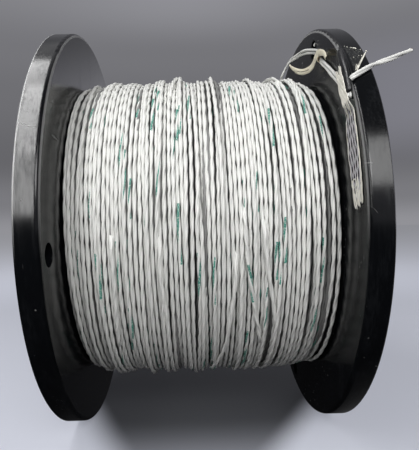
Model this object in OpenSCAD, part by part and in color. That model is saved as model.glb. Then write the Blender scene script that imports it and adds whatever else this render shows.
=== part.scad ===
/* [Flanges] */
// Diameter of each flange
flange_d = 305; // [290:1:330]
// Thickness of each flange
flange_t = 14.5; // [13:0.5:18]
// Distance between the two inner faces
traverse = 174; // [160:1:190]
// Radius of the rounded edge between inner face and rim
edge_round = 2.5; // [1.5:0.1:3.5]
// Chamfer on the outer edge of the rim
edge_chamfer = 0.8; // [0.4:0.1:1.2]

/* [Arbor] */
// Diameter of the spindle hole
arbor_d = 38.1; // [30:0.1:42]
// Wall of each steel arbor bushing
bushing_wall = 3; // [2:0.25:3.5]
// Width of flange left between each bushing's plate and the bolt recesses
plate_gap = 2.85; // [2:0.05:5]
// Thickness of that plate
plate_t = 2; // [1.5:0.1:2.5]
// Diameter of a plate screw's shank
screw_d = 3.8; // [3:0.1:4.2]
// Length of a plate screw under its head
screw_l = 9; // [6:0.5:10]

/* [Drum] */
// Outer diameter of the drum tube
drum_d = 127; // [124:1:140]
// Wall of the drum tube
drum_wall = 5; // [3:0.5:6]
// Depth of the groove that each drum end sits in
groove_depth = 5; // [3:0.5:6]

/* [Tie bolts] */
// Number of tie bolts
bolt_count = 4; // [3:1:4]
// Diameter of a tie bolt
bolt_d = 8; // [6:0.5:8]
// Distance from the drum's inner wall to the middle of each tie bolt
bolt_inset = 7.5; // [6.5:0.5:8.5]
// Width of a bolt head or nut across its flats
hex_w = 13; // [10:0.5:13]
// Thickness of a bolt head or nut
hex_t = 5.3; // [4:0.1:5.5]
// Diameter of a washer
washer_d = 18; // [16:0.5:19]
// Thickness of a washer
washer_t = 1.6; // [1:0.1:2]
// Clearance round a washer in its recess
washer_play = 1; // [0.5:0.1:1.5]
// Depth of the round recess over each bolt end
recess_depth = 8; // [7.5:0.1:9]

/* [Wire holes] */
// Diameter of the holes that wire ends pass through
wire_hole_d = 14; // [10:0.5:16]
// Distance from the rim to the middle of each of those holes
wire_hole_inset = 14.5; // [12.5:0.5:22]
// Angle of the left flange's hole, from the top towards the front
left_hole_angle = 96; // [60:1:120]
// Angle of the right flange's upper hole
right_hole_angle = 21; // [15:1:24]
// Angle of the right flange's lower hole
lower_hole_angle = 194; // [170:1:210]

/* [Winding] */
// Diameter of the full winding at its middle
winding_d = 236; // [224:1:240]
// How much the winding's radius falls towards each flange
winding_drop = 3; // [0:0.25:5]
// Loops drawn in the outer layer
loop_count = 24; // [16:1:24]
// Least gap between neighbouring loops
loop_gap = 0.6; // [0.5:0.1:1.5]

/* [Wire end] */
// Overall diameter of the twisted pair
pair_d = 2.8; // [2:0.1:2.8]
// Diameter of each bare conductor
conductor_d = 0.8; // [0.5:0.05:1]
// How far the conductors stand out of the cut end
conductor_l = 1; // [0.5:0.1:2]
// Diameter of the thin tie string
string_d = 1; // [0.6:0.1:1.4]

/* [Tapes] */
// Width of the filament tape
tape_w = 18; // [15:0.5:19]
// Length of the filament tape on the flange
tape_l = 98; // [85:1:105]
// Length of its top end that is raised over the wire
tape_raised = 37; // [30:1:42]
// Length over which it comes down to the flange
tape_slope = 7; // [5:0.5:10]
// Thickness of the tapes
tape_t = 0.4; // [0.3:0.05:0.5]
// Width of the cream band round the wire loop
band_w = 5.5; // [4:0.5:7]
// Thickness of that band
band_t = 0.5; // [0.4:0.05:0.6]
// Thickness of the black strip on the flange edge
strip_t = 1.8; // [1:0.1:2]
// How far that strip reaches in from the rim
strip_w = 6; // [4.5:0.5:8]

/* [Fits] */
// Clearance of pieces that lie loosely on each other
lay_gap = 0.3; // [0.2:0.05:0.5]
// Clearance all round pieces that are seated in a pocket
seat_gap = 0.15; // [0.1:0.05:0.3]

/* [Hidden] */
$fn = 96;

half = traverse / 2;
flange_r = flange_d / 2;
end_x = half + flange_t;
drum_r = drum_d / 2;
bolt_ring = drum_r - drum_wall - bolt_inset;
recess_r = washer_d / 2 + washer_play;
bushing_r = arbor_d / 2 + bushing_wall;
plate_r = bolt_ring - recess_r - plate_gap - seat_gap;
plate_pocket = plate_t + seat_gap;
plate_screw_ring = (bushing_r + plate_r) / 2;
wire_hole_ring = flange_r - wire_hole_inset;
screw_head_r = 3.6;
screw_head_h = 1.7;
screw_slot = [2, 0.9, 3.6];
screw_play = 0.15;
pilot_play = 0.05;
bolt_play = 0.25;
washer_bore_play = 0.2;
// How far a bolt's shank stands out of its nut.
bolt_tip = 0.5;

// The winding's loops: one tube whose pitch fills the traverse from face to face.
loop_steps = 24;
loop_sides = 6;
loop_pitch = (traverse - 2 * lay_gap + loop_gap) / (loop_count + 1);
loop_d = loop_pitch - loop_gap;
loop_x0 = -half + lay_gap + loop_d / 2;
last_angle = -40;
winding_r = winding_d / 2;
chord_sag = winding_r * (1 - cos(180 / loop_steps));

pair_r = pair_d / 2;
cord_sides = 8;
// Places that tapes and wire take from the flange they lie on.
pair_x = half - lay_gap - pair_r;
strip_r_in = flange_r - strip_w;
strip_angle_from = 46.5;
strip_angle_to = 59;
corner_x = half + edge_round;
corner_r = flange_r - edge_round;

// ---- Helpers ----

// A point at distance r from the axis, at angle a from the top towards the front.
function at(x, r, a) = [x, -r * sin(a), r * cos(a)];

function unit(v) = v / norm(v);

// One point on the smooth curve through four neighbouring points, at share t of the middle span.
function blend(a, b, c, d, t) =
    0.5 * (2 * b + (c - a) * t + (2 * a - 5 * b + 4 * c - d) * t * t + (3 * b - a - 3 * c + d) * t * t * t);

// A smooth line through all points, with k steps from each to the next.
function smooth(p, k) = let (n = len(p) - 1) [
    for (i = [0 : n - 1], s = [0 : k - 1])
        blend(p[max(i - 1, 0)], p[i], p[i + 1], p[min(i + 2, n)], s / k),
    p[n]
];

function headings(p) = let (n = len(p) - 1) [
    for (i = [0 : n]) unit(p[min(i + 1, n)] - p[max(i - 1, 0)])
];

function square_to(v, t) = unit(v - (v * t) * t);

// Side directions carried along the line without twisting.
function sides(t, first) = [
    for (i = 0, v = square_to(first, t[0]); i < len(t); i = i + 1, v = square_to(v, t[min(i, len(t) - 1)])) v
];

function line_length(p, i = 1) = i < len(p) ? norm(p[i] - p[i - 1]) + line_length(p, i + 1) : 0;

// Sweeps a flat outline, given as [side, up] offsets, along a line of points.
module sweep(line, outline, first) {
    t = headings(line);
    v = sides(t, first);
    n = len(outline);
    m = len(line);
    points = [for (i = [0 : m - 1], o = outline) line[i] + v[i] * o[0] + cross(t[i], v[i]) * o[1]];
    walls = [
        for (i = [0 : m - 2], j = [0 : n - 1])
            let (a = i * n + j, b = i * n + (j + 1) % n)
                each [[a, a + n, b], [b, a + n, b + n]]
    ];
    start_cap = [for (j = [1 : n - 2]) [0, j, j + 1]];
    end_cap = [for (j = [1 : n - 2]) [(m - 1) * n, (m - 1) * n + j + 1, (m - 1) * n + j]];
    polyhedron(points = points, faces = concat(walls, start_cap, end_cap));
}

function ring(r, count) = [for (j = [0 : count - 1]) [r * cos(360 * j / count), r * sin(360 * j / count)]];

// A plain flat strip's outline.
function strip_outline(w, t) = [[-w / 2, -t / 2], [w / 2, -t / 2], [w / 2, t / 2], [-w / 2, t / 2]];

// Turns a shape built along +Z so that it runs along +X.
module along_x(x = 0) {
    translate([x, 0, 0]) rotate([0, 90, 0]) children();
}

// Places copies round the axis, the first one at angle `from`.
module round_axis(count, r, from = 45) {
    for (k = [0 : count - 1]) {
        place = at(0, r, from + 360 * k / count);
        translate(place) children();
    }
}

// Turns an outline of [radius, x] points about the axis, between two angles from the top towards the front.
module arc_round_axis(from, to) {
    rotate([from + 180, 0, 0]) rotate([0, 90, 0]) rotate_extrude(angle = to - from) children();
}

// Mirrors the left end's pieces to the right end.
module on_side(side) {
    if (side < 0) children();
    else mirror([1, 0, 0]) children();
}

// ---- Flanges, arbor and drum ----

// The plate's body, built with its inner face at x = 0 and its rim towards -X.
module flange_blank() {
    rotate([0, -90, 0]) {
        cylinder(r = flange_r - edge_round, h = flange_t);
        translate([0, 0, edge_round]) cylinder(r = flange_r, h = flange_t - edge_round - edge_chamfer);
        translate([0, 0, flange_t - edge_chamfer])
            cylinder(r1 = flange_r, r2 = flange_r - edge_chamfer, h = edge_chamfer);
        rotate_extrude() translate([flange_r - edge_round, edge_round]) circle(r = edge_round, $fn = 32);
    }
}

// Everything cut from a left flange, which lies from -end_x to -half.
module flange_cuts() {
    // Bushing seat and the pocket for its plate
    along_x(-end_x - 1) cylinder(r = bushing_r + seat_gap, h = flange_t + 2);
    along_x(-end_x - 1) cylinder(r = plate_r + seat_gap, h = 1 + plate_pocket);
    // Groove for the drum's end
    difference() {
        along_x(-half - groove_depth) cylinder(r = drum_r + seat_gap, h = groove_depth + 1);
        along_x(-half - groove_depth - 1) cylinder(r = drum_r - drum_wall - seat_gap, h = groove_depth + 3);
    }
    // Tie bolt holes and their recesses
    round_axis(bolt_count, bolt_ring) {
        along_x(-end_x - 1) cylinder(d = bolt_d + 2 * bolt_play, h = flange_t + 2);
        along_x(-end_x - 1) cylinder(r = recess_r, h = 1 + recess_depth);
    }
    // Pilot holes of the plate screws
    round_axis(4, plate_screw_ring, 0)
        along_x(-end_x + plate_t - 1) cylinder(r = screw_d / 2 + pilot_play, h = 1.5 + screw_l, $fn = 32);
}

module wire_hole(x, angle) {
    translate(at(0, wire_hole_ring, angle)) along_x(x) cylinder(d = wire_hole_d, h = flange_t + 2, $fn = 64);
}

module left_flange() {
    color("#141416") difference() {
        translate([-half, 0, 0]) flange_blank();
        flange_cuts();
        wire_hole(-end_x - 1, left_hole_angle);
    }
}

module right_flange() {
    color("#141416") difference() {
        on_side(1) translate([-half, 0, 0]) flange_blank();
        on_side(1) flange_cuts();
        wire_hole(half - 1, right_hole_angle);
        wire_hole(half - 1, lower_hole_angle);
    }
}

module drum_tube() {
    reach = half + groove_depth - seat_gap;
    color("#8a6a45") difference() {
        along_x(-reach) cylinder(r = drum_r, h = 2 * reach);
        along_x(-reach - 1) cylinder(r = drum_r - drum_wall, h = 2 * reach + 2);
    }
}

// A steel bushing: a sleeve through the flange with a round plate let into its outer face.
module bushing(side) {
    hole_r = screw_d / 2 + screw_play;
    color("#b9bcc0") on_side(side) difference() {
        union() {
            along_x(-end_x) cylinder(r = bushing_r, h = flange_t);
            along_x(-end_x) cylinder(r = plate_r, h = plate_t);
        }
        along_x(-end_x - 1) cylinder(d = arbor_d, h = flange_t + 2);
        round_axis(4, plate_screw_ring, 0) {
            along_x(-end_x - 1) cylinder(r = hole_r, h = plate_t + 2, $fn = 32);
            along_x(-end_x - 0.01)
                cylinder(r1 = screw_head_r + seat_gap, r2 = hole_r, h = screw_head_h + seat_gap, $fn = 32);
        }
    }
}

module left_bushing() {
    bushing(-1);
}

module right_bushing() {
    bushing(1);
}

// Countersunk screws with a cross recess.
module plate_screws(side) {
    color("#c8cacd") on_side(side) round_axis(4, plate_screw_ring, 0) difference() {
        union() {
            along_x(-end_x) cylinder(r1 = screw_head_r, r2 = screw_d / 2, h = screw_head_h, $fn = 32);
            along_x(-end_x) cylinder(d = screw_d, h = plate_t + screw_l, $fn = 32);
        }
        for (turn = [0, 90])
            rotate([turn, 0, 0]) translate([-end_x, 0, 0]) cube(screw_slot, center = true);
    }
}

module left_bushing_screws() {
    plate_screws(-1);
}

module right_bushing_screws() {
    plate_screws(1);
}

// ---- Tie bolts ----

recess_floor = end_x - recess_depth;
head_x = recess_floor + washer_t;

module hexagon(h) {
    cylinder(d = hex_w / cos(30), h = h, $fn = 6);
}

module tie_bolts() {
    color("#9a9da1") round_axis(bolt_count, bolt_ring) {
        along_x(-head_x - hex_t) hexagon(hex_t);
        along_x(-head_x - bolt_tip) cylinder(d = bolt_d, h = 2 * (head_x + bolt_tip) + hex_t);
    }
}

module washers(side) {
    color("#b9bcc0") on_side(side) round_axis(bolt_count, bolt_ring) difference() {
        along_x(-head_x) cylinder(d = washer_d, h = washer_t);
        along_x(-head_x - 1) cylinder(r = bolt_d / 2 + washer_bore_play, h = washer_t + 2);
    }
}

module left_washers() {
    washers(-1);
}

module right_washers() {
    washers(1);
}

module tie_nuts() {
    color("#a4a7ab") round_axis(bolt_count, bolt_ring) difference() {
        along_x(head_x) hexagon(hex_t);
        along_x(head_x - 1) cylinder(r = bolt_d / 2 + pilot_play, h = hex_t + 2);
    }
}

// ---- Winding ----

// Radius of the winding's outer surface at place x along the axis.
function crown(x) = winding_r - winding_drop * pow(abs(x) / half, 4);

function loop_point(i) =
    let (x = loop_x0 + loop_pitch * i / loop_steps, a = last_angle + 360 * (i / loop_steps - loop_count))
        at(x, crown(x) - loop_d / 2, a);

loop_total = loop_count * loop_steps;
loop_points = [for (i = [0 : loop_total]) loop_point(i)];
loop_heading_0 = unit(loop_points[1] - loop_points[0]);
loop_heading_1 = unit(loop_points[loop_total] - loop_points[loop_total - 1]);
winding_line = concat(
    [loop_points[0] - loop_heading_0 * loop_d],
    loop_points,
    [loop_points[loop_total] + loop_heading_1 * loop_d]
);
winding_end = winding_line[loop_total + 2];

least_loop_gap = min([
    for (i = [0 : loop_total - loop_steps + 1], s = [-1, 0, 1])
        let (j = i + loop_steps + s)
            if (j <= loop_total) norm(loop_points[j] - loop_points[i])
]) - loop_d;
echo(least_loop_gap = least_loop_gap);

// The inner layers, as one plain body that the outer layer lies on.
module winding_core() {
    steps = 24;
    face_x = half - lay_gap;
    inner_r = drum_r + lay_gap;
    inset = loop_d + chord_sag + lay_gap;
    profile = concat(
        [[inner_r, -face_x]],
        [for (k = [0 : steps]) let (x = -face_x + 2 * face_x * k / steps) [crown(x) - inset, x]],
        [[inner_r, face_x]]
    );
    color("#c9c9c6") rotate([0, 90, 0]) rotate_extrude() polygon(profile);
}

// The outer layer: one unbroken tube wound from flange to flange.
module winding_outer() {
    color("#e4e4e1") sweep(winding_line, ring(loop_d / 2, loop_sides), [1, 0, 0]);
}

// ---- Wire end, band and string ----

// A point of the loop that stands up beside the right flange: how far it lies in from the flange's face,
// how high over the winding, and at which angle.
function over(inset, height, angle) = at(half - inset, winding_r + height, angle);

// A point of the wire that lies on the right flange's face, so deep inside the rim.
function on_face(depth, angle) = at(pair_x, flange_r - depth, angle);

// The wire's loose end: off the last loop, over the top, up to its crest, down the right flange's face.
wire_route = [
    winding_end,
    over(4, -1.5, -24),
    over(8, 0.8, -12),
    over(16, 2.8, 3.8),
    over(13.5, 10.3, 6.3),
    over(11, 15, 8.6),
    over(8, 16.9, 12.9),
    over(5, 18.9, 18.3),
    on_face(15, 24),
    on_face(14.6, 29.5),
    on_face(17.7, 33.8),
    on_face(16.9, 39.9),
    on_face(15, 46),
    on_face(11.5, 51.9),
    on_face(9.4, 55.5),
    on_face(8.3, 58.2),
    on_face(6.7, 60.2),
    on_face(3.5, 61),
    on_face(3.5, strip_angle_to)
];
wire_line = smooth(wire_route, 2);

// The cut end: out from under the strip, over the rim and into the air.
tail_angle = 57.5;
tail_reach = edge_round + lay_gap + pair_r;
tail_route = [
    at(corner_x - tail_reach * sin(45), corner_r + tail_reach * cos(45), tail_angle),
    at(corner_x - 1, flange_r + lay_gap + pair_r + 0.4, tail_angle - 0.3),
    at(half + 7, flange_r + 2, 55.7),
    at(half + 13, flange_r + 2, 54.1),
    at(half + 19, flange_r + 1.6, 52.7),
    at(half + 27, flange_r + 1.5, 51.2),
    at(half + 34, flange_r + 1.7, 49.7),
    at(half + 41.5, flange_r + 1.9, 48.1)
];
tail_line = smooth(tail_route, 2);
echo(wire_end_length = line_length(wire_line), free_tail_length = line_length(tail_line));

module wire_end() {
    color("#e8e6e0") sweep(wire_line, ring(pair_r, cord_sides), [1, 0, 0]);
}

module free_tail() {
    color("#e8e6e0") sweep(tail_line, ring(pair_r, cord_sides), [0, 0, 1]);
}

// Two short bare conductors at the cut end.
module tail_conductors() {
    heads = headings(tail_line);
    tip = tail_line[len(tail_line) - 1];
    way = heads[len(heads) - 1];
    across = square_to([0, 0, 1], way);
    color("#b5603a") for (s = [-1, 1]) {
        foot = tip + across * s * pair_r / 2;
        sweep([foot, foot + way * conductor_l], ring(conductor_d / 2, cord_sides), [1, 0, 0]);
    }
}

// The cream band: from its loose right end, over the wire, round the loop's foot and up to the crest.
band_route = [
    over(4, 25.8, 41.6),
    over(4, 26.7, 39),
    over(4, 25.2, 35.9),
    over(4, 22.6, 32.7),
    over(4, 18.8, 30.8),
    over(4, 14.1, 29.5),
    over(4.5, 10.2, 27.9),
    over(5.5, 7.2, 25.5),
    over(7.5, 5, 21.5),
    over(9.8, 5.7, 17.9),
    over(11.5, 8.4, 13.7),
    over(12, 11.3, 10.7)
];

module wrap_band() {
    color("#e6dfcb") sweep(smooth(band_route, 2), strip_outline(band_t, band_w), [1, 0, 0]);
}

// A thin string out of the right flange's upper hole, down to the wire loop.
string_hole = at(half, wire_hole_ring, right_hole_angle);
string_route = [
    string_hole + [8, -4, 2.2],
    string_hole + [1, -5, 2.7],
    string_hole + [-0.8, -6.5, 2.2],
    string_hole + [-1.2, -8, 0]
];

module tie_string() {
    color("#dcdcda") sweep(smooth(string_route, 2), ring(string_d / 2, cord_sides), [0, 1, 0]);
}

// ---- Tapes on the right flange ----

// Clear filament tape: flat on the face, then raised over the wire. Its length runs down from its top end.
tape_top = at(0, flange_r - 1.9, 47.2);
tape_lean = 14.5;

module filament_tape() {
    low_x = half - tape_t - lay_gap / 2;
    high_x = half - 2 * lay_gap - pair_d - tape_t;
    profile = [
        [0, high_x],
        [-tape_raised, high_x],
        [-tape_raised - tape_slope, low_x],
        [-tape_l, low_x],
        [-tape_l, low_x + tape_t],
        [-tape_raised - tape_slope, low_x + tape_t],
        [-tape_raised, high_x + tape_t],
        [0, high_x + tape_t]
    ];
    color("#cfcdbb") intersection() {
        translate(tape_top) rotate([-tape_lean, 0, 0])
            rotate([90, 0, 0]) translate([0, 0, -tape_w / 2]) linear_extrude(tape_w)
                polygon([for (p = profile) [p[1], p[0]]]);
        along_x(half - 10) cylinder(r = strip_r_in - lay_gap, h = 11);
    }
}

// The same tape's loose end, clear and folded over the rim.
module tape_flap() {
    flap_angle = 50;
    edge_x = half + edge_round + 2 * lay_gap;
    outline = [
        at(edge_x, flange_r, 44.4),
        at(end_x - 4.5, flange_r, 45.7),
        at(end_x, flange_r, 47.2),
        at(edge_x, flange_r, 54.5)
    ];
    shell_r = flange_r + lay_gap / 2;
    color("#b9bdb8") intersection() {
        difference() {
            along_x(half) cylinder(r = shell_r + tape_t, h = flange_t + 1);
            along_x(half - 1) cylinder(r = shell_r, h = flange_t + 3);
        }
        rotate([flap_angle, 0, 0]) translate([0, 0, flange_r / 2]) linear_extrude(flange_r)
            polygon([for (p = outline) [p[0], p[1] * cos(flap_angle) + p[2] * sin(flap_angle)]]);
    }
}

// A short black strip that pads the flange's edge where the wire crosses it.
module edge_strip() {
    inner = edge_round + lay_gap / 2;
    outer = inner + strip_t;
    foot_w = corner_r - strip_r_in;
    color("#0c0c0d") arc_round_axis(strip_angle_from, strip_angle_to) difference() {
        union() {
            translate([corner_r, corner_x]) circle(r = outer, $fn = 48);
            translate([strip_r_in, corner_x - outer]) square([foot_w, outer]);
        }
        translate([corner_r, corner_x]) circle(r = inner, $fn = 48);
        // Nothing past the middle of the rounded edge
        translate([corner_r, corner_x]) rotate(-45) square(2 * outer);
        translate([strip_r_in - 1, corner_x]) square([foot_w + 1 + outer, outer + 1]);
        translate([strip_r_in - 1, corner_x - inner]) square([foot_w + 1, inner + 1]);
    }
}

left_flange();
right_flange();
drum_tube();
left_bushing();
right_bushing();
left_bushing_screws();
right_bushing_screws();
tie_bolts();
left_washers();
right_washers();
tie_nuts();
winding_core();
winding_outer();
wire_end();
free_tail();
tail_conductors();
wrap_band();
tie_string();
filament_tape();
tape_flap();
edge_strip();
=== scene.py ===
"""A spool of twisted-pair hook-up wire, dressed around its construction frame.

The frame holds the flanges, hub, bolts and washers at their real size. This file gives them their
finishes and models what is wound, looped, tied and taped on them: the outer turns of wire, the loose
wire end with its band and string, the cut tail and the filament tape. All sizes are in metres and
all angles in degrees, counted from the top of the spool towards its front.
"""

import logging
import math
from dataclasses import dataclass, replace
from enum import Enum
from typing import Callable, Sequence

import bpy
import numpy as np
from mathutils import Matrix, Vector


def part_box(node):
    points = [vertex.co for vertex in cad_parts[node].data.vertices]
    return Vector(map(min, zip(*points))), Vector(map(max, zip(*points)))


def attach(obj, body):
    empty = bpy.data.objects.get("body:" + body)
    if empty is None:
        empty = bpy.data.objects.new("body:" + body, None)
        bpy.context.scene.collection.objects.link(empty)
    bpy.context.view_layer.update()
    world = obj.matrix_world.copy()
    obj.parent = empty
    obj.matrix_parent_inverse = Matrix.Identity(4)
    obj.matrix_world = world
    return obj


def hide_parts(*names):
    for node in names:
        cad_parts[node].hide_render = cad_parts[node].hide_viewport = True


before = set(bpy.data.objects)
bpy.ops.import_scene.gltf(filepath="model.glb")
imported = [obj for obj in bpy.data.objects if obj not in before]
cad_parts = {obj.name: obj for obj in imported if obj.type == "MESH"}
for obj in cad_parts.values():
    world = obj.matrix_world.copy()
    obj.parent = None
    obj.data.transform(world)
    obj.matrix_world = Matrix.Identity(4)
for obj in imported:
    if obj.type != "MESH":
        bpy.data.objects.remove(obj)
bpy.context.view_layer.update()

Colour = tuple[float, float, float, float]
Place = tuple[float, float, float]
Socket = bpy.types.NodeSocket

log = logging.getLogger("wire_spool")

BODY = "root"
TURN = 360.0
PRINT_SHIFT = 37.0


# ---- Points and lines ----


def around(x: float, radius: float, angle: float) -> Vector:
    """Returns the point at a place along the spool's axis, a distance from it and an angle."""
    turned = math.radians(angle)
    return Vector((x, -radius * math.sin(turned), radius * math.cos(turned)))


def smooth_line(points: Sequence[Vector], steps: int) -> list[Vector]:
    """Draws one smooth line through all points.

    Args:
        points: The points that the line passes.
        steps: How many steps there are from each point to the next.

    Returns:
        The points along the line, the given ones among them.
    """
    last = len(points) - 1
    line = []
    for i in range(last):
        a, b = points[max(i - 1, 0)], points[i]
        c, d = points[i + 1], points[min(i + 2, last)]
        for s in range(steps):
            t = s / steps
            bend = 2 * a - 5 * b + 4 * c - d
            twist = 3 * b - a - 3 * c + d
            line.append(0.5 * (2 * b + (c - a) * t + bend * t**2 + twist * t**3))
    line.append(points[last].copy())
    return line


def headings(line: np.ndarray) -> np.ndarray:
    """Returns the unit direction of a line at each of its points."""
    before = np.vstack([line[:1], line[:-1]])
    after = np.vstack([line[1:], line[-1:]])
    ways = after - before
    return ways / np.linalg.norm(ways, axis=1, keepdims=True)


def run_along(line: np.ndarray) -> np.ndarray:
    """Returns the distance along a line at each of its points."""
    return np.concatenate([[0], np.cumsum(np.linalg.norm(np.diff(line, axis=0), axis=1))])


def square_to(ways: np.ndarray, sides: np.ndarray) -> np.ndarray:
    """Returns the unit directions nearest to some sides that are square to a line's directions."""
    sides = sides - ways * np.sum(sides * ways, axis=1, keepdims=True)
    return sides / np.linalg.norm(sides, axis=1, keepdims=True)


def eased(share: np.ndarray) -> np.ndarray:
    """Returns a share that starts and ends slowly."""
    return share * share * (3 - 2 * share)


def tapered(share: np.ndarray, power: int, least: float) -> np.ndarray:
    """Returns a size that is 1 in the middle, at a share of 0, and thins to rounded ends at -1 and 1."""
    return np.sqrt(np.clip(1 - share**power, least, 1))


def off_angle(angle: np.ndarray, middle: float) -> np.ndarray:
    """Returns how far angles are from a middle one, the short way round."""
    return (angle - middle + TURN / 2) % TURN - TURN / 2


def carried_sides(ways: np.ndarray, first: Sequence[float]) -> np.ndarray:
    """Carries a side direction along a line without twisting it.

    Args:
        ways: The line's direction at each point.
        first: The side direction wanted at the start.

    Returns:
        One unit side direction for each point, square to the line.
    """
    side = np.array(first, float)
    sides = []
    for way in ways:
        side = side - way * side.dot(way)
        side = side / np.linalg.norm(side)
        sides.append(side)
    return np.array(sides)


@dataclass(frozen=True)
class SpoolFrame:
    """The construction sizes that the dressed pieces follow."""

    inner_x: float
    end_x: float
    flange_r: float
    edge_round: float = 0.0025
    winding_r: float = 0.118
    winding_drop: float = 0.003
    last_angle: float = -40.0
    lay_gap: float = 0.0003

    @classmethod
    def from_nodes(cls) -> "SpoolFrame":
        """Reads the sizes off the right flange."""
        low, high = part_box("right_flange")
        return cls(inner_x=low.x, end_x=high.x, flange_r=high.z)

    def crown(self, x: np.ndarray) -> np.ndarray:
        """Returns the radius of the winding's outer surface at places along the axis."""
        return self.winding_r - self.winding_drop * (np.abs(x) / self.inner_x) ** 4

    def over(self, inset: float, height: float, angle: float) -> Vector:
        """Returns a point so far in from the right flange and so high over the winding."""
        return around(self.inner_x - inset, self.winding_r + height, angle)


# ---- Meshes ----


def coat(piece: bpy.types.Object, finish: "Finish") -> None:
    """Gives a piece its one material."""
    piece.data.materials.clear()
    piece.data.materials.append(finish.material())
    log.info("%s: %s, %d faces", piece.name, finish.name, len(piece.data.polygons))


def settle(piece: bpy.types.Object, finish: "Finish", slot: str, *nodes: str) -> None:
    """Gives a finished piece its material and its place in the frame.

    Args:
        piece: The object, with its place in its mesh.
        finish: What it is made of.
        slot: Not used.
        nodes: The construction solids that it stands for.
    """
    coat(piece, finish)
    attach(piece, BODY)
    if nodes:
        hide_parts(*nodes)


def deselect_all() -> None:
    """Leaves object mode with nothing selected."""
    if bpy.context.object and bpy.context.object.mode != "OBJECT":
        bpy.ops.object.mode_set(mode="OBJECT")
    bpy.ops.object.select_all(action="DESELECT")


def take_up(piece: bpy.types.Object) -> None:
    """Selects one piece alone and makes it active."""
    deselect_all()
    piece.select_set(True)
    bpy.context.view_layer.objects.active = piece


def apply_modifiers(piece: bpy.types.Object) -> None:
    """Applies every modifier of a piece, in order."""
    take_up(piece)
    for modifier in list(piece.modifiers):
        bpy.ops.object.modifier_apply(modifier=modifier.name)


def point_outwards(piece: bpy.types.Object) -> None:
    """Merges doubled points and turns every face of a closed piece outwards."""
    take_up(piece)
    bpy.ops.object.mode_set(mode="EDIT")
    bpy.ops.mesh.select_all(action="SELECT")
    bpy.ops.mesh.remove_doubles(threshold=1e-6)
    bpy.ops.mesh.normals_make_consistent(inside=False)
    bpy.ops.object.mode_set(mode="OBJECT")


def shade_smooth(piece: bpy.types.Object, angle: float = 40.0) -> None:
    """Shades a piece smooth, apart from edges sharper than an angle."""
    take_up(piece)
    bpy.ops.object.shade_smooth_by_angle(angle=math.radians(angle))


@dataclass
class Strand:
    """One round strand: its centre line, the directions its section is drawn in, and its radius."""

    centres: np.ndarray
    ups: np.ndarray
    sides: np.ndarray
    radius: float
    along: np.ndarray


def strands_mesh(name: str, strands: Sequence[Strand], ring_sides: int) -> bpy.types.Object:
    """Makes one mesh of several round strands with closed ends.

    Its UV map runs along each strand in metres and once round it, from the side that looks away
    from what the strand lies on.

    Args:
        name: The piece's name.
        strands: The strands, each with its own line.
        ring_sides: How many flat sides a strand has.

    Returns:
        The new object.
    """
    turned = 2 * np.pi * (np.arange(ring_sides) / ring_sides)
    points, quads, uvs, caps, first = [], [], [], [], 0
    for strand in strands:
        ring = (
            np.cos(turned)[None, :, None] * strand.ups[:, None, :]
            + np.sin(turned)[None, :, None] * strand.sides[:, None, :]
        )
        points.append((strand.centres[:, None, :] + strand.radius * ring).reshape(-1, 3))
        rows = len(strand.centres)
        i, j = np.meshgrid(np.arange(rows - 1), np.arange(ring_sides), indexing="ij")
        a = first + i * ring_sides + j
        b = first + i * ring_sides + (j + 1) % ring_sides
        quads.append(np.stack([a, b, b + ring_sides, a + ring_sides], axis=-1).reshape(-1, 4))
        u, next_u = strand.along[i], strand.along[i + 1]
        v, next_v = j / ring_sides, j / ring_sides + 1 / ring_sides
        corners = ((u, v), (u, next_v), (next_u, next_v), (next_u, v))
        uvs.append(np.stack([np.stack(corner, -1) for corner in corners], axis=-2).reshape(-1, 2))
        start, first = first, first + rows * ring_sides
        caps += [range(start + ring_sides - 1, start - 1, -1), range(first - ring_sides, first)]
    all_points, all_quads = np.concatenate(points), np.concatenate(quads)
    loops = np.concatenate([all_quads.ravel(), np.array(caps).ravel()])
    sizes = np.concatenate([np.full(len(all_quads), 4), np.full(len(caps), ring_sides)])
    starts = np.concatenate([[0], np.cumsum(sizes)[:-1]])
    mesh = bpy.data.meshes.new(name)
    mesh.vertices.add(len(all_points))
    mesh.vertices.foreach_set("co", all_points.astype(np.float32).ravel())
    mesh.loops.add(len(loops))
    mesh.loops.foreach_set("vertex_index", loops.astype(np.int32))
    mesh.polygons.add(len(sizes))
    mesh.polygons.foreach_set("loop_start", starts.astype(np.int32))
    mesh.update(calc_edges=True)
    mesh.validate()
    layer = mesh.uv_layers.new(name="strand")
    cap_uv = np.zeros((len(caps) * ring_sides, 2))
    layer.data.foreach_set("uv", np.concatenate([*uvs, cap_uv]).astype(np.float32).ravel())
    mesh.polygons.foreach_set("use_smooth", np.ones(len(sizes), dtype=bool))
    piece = bpy.data.objects.new(name, mesh)
    bpy.context.scene.collection.objects.link(piece)
    return piece


def twisted_pair(guide: Strand, phases: np.ndarray, offsets: np.ndarray) -> list[Strand]:
    """Lays two strands round one centre line.

    Args:
        guide: The pair's centre line, with the radius of one strand.
        phases: How far the pair is twisted at each point, in radians.
        offsets: How far each strand's centre is from the pair's centre.

    Returns:
        The two strands.
    """
    pair = []
    for half_turn in (0.0, math.pi):
        turned = (phases + half_turn)[:, None]
        out = np.cos(turned) * guide.ups + np.sin(turned) * guide.sides
        centres = guide.centres + offsets[:, None] * out
        pair.append(replace(guide, centres=centres, along=guide.along + half_turn * PRINT_SHIFT))
    return pair


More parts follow.
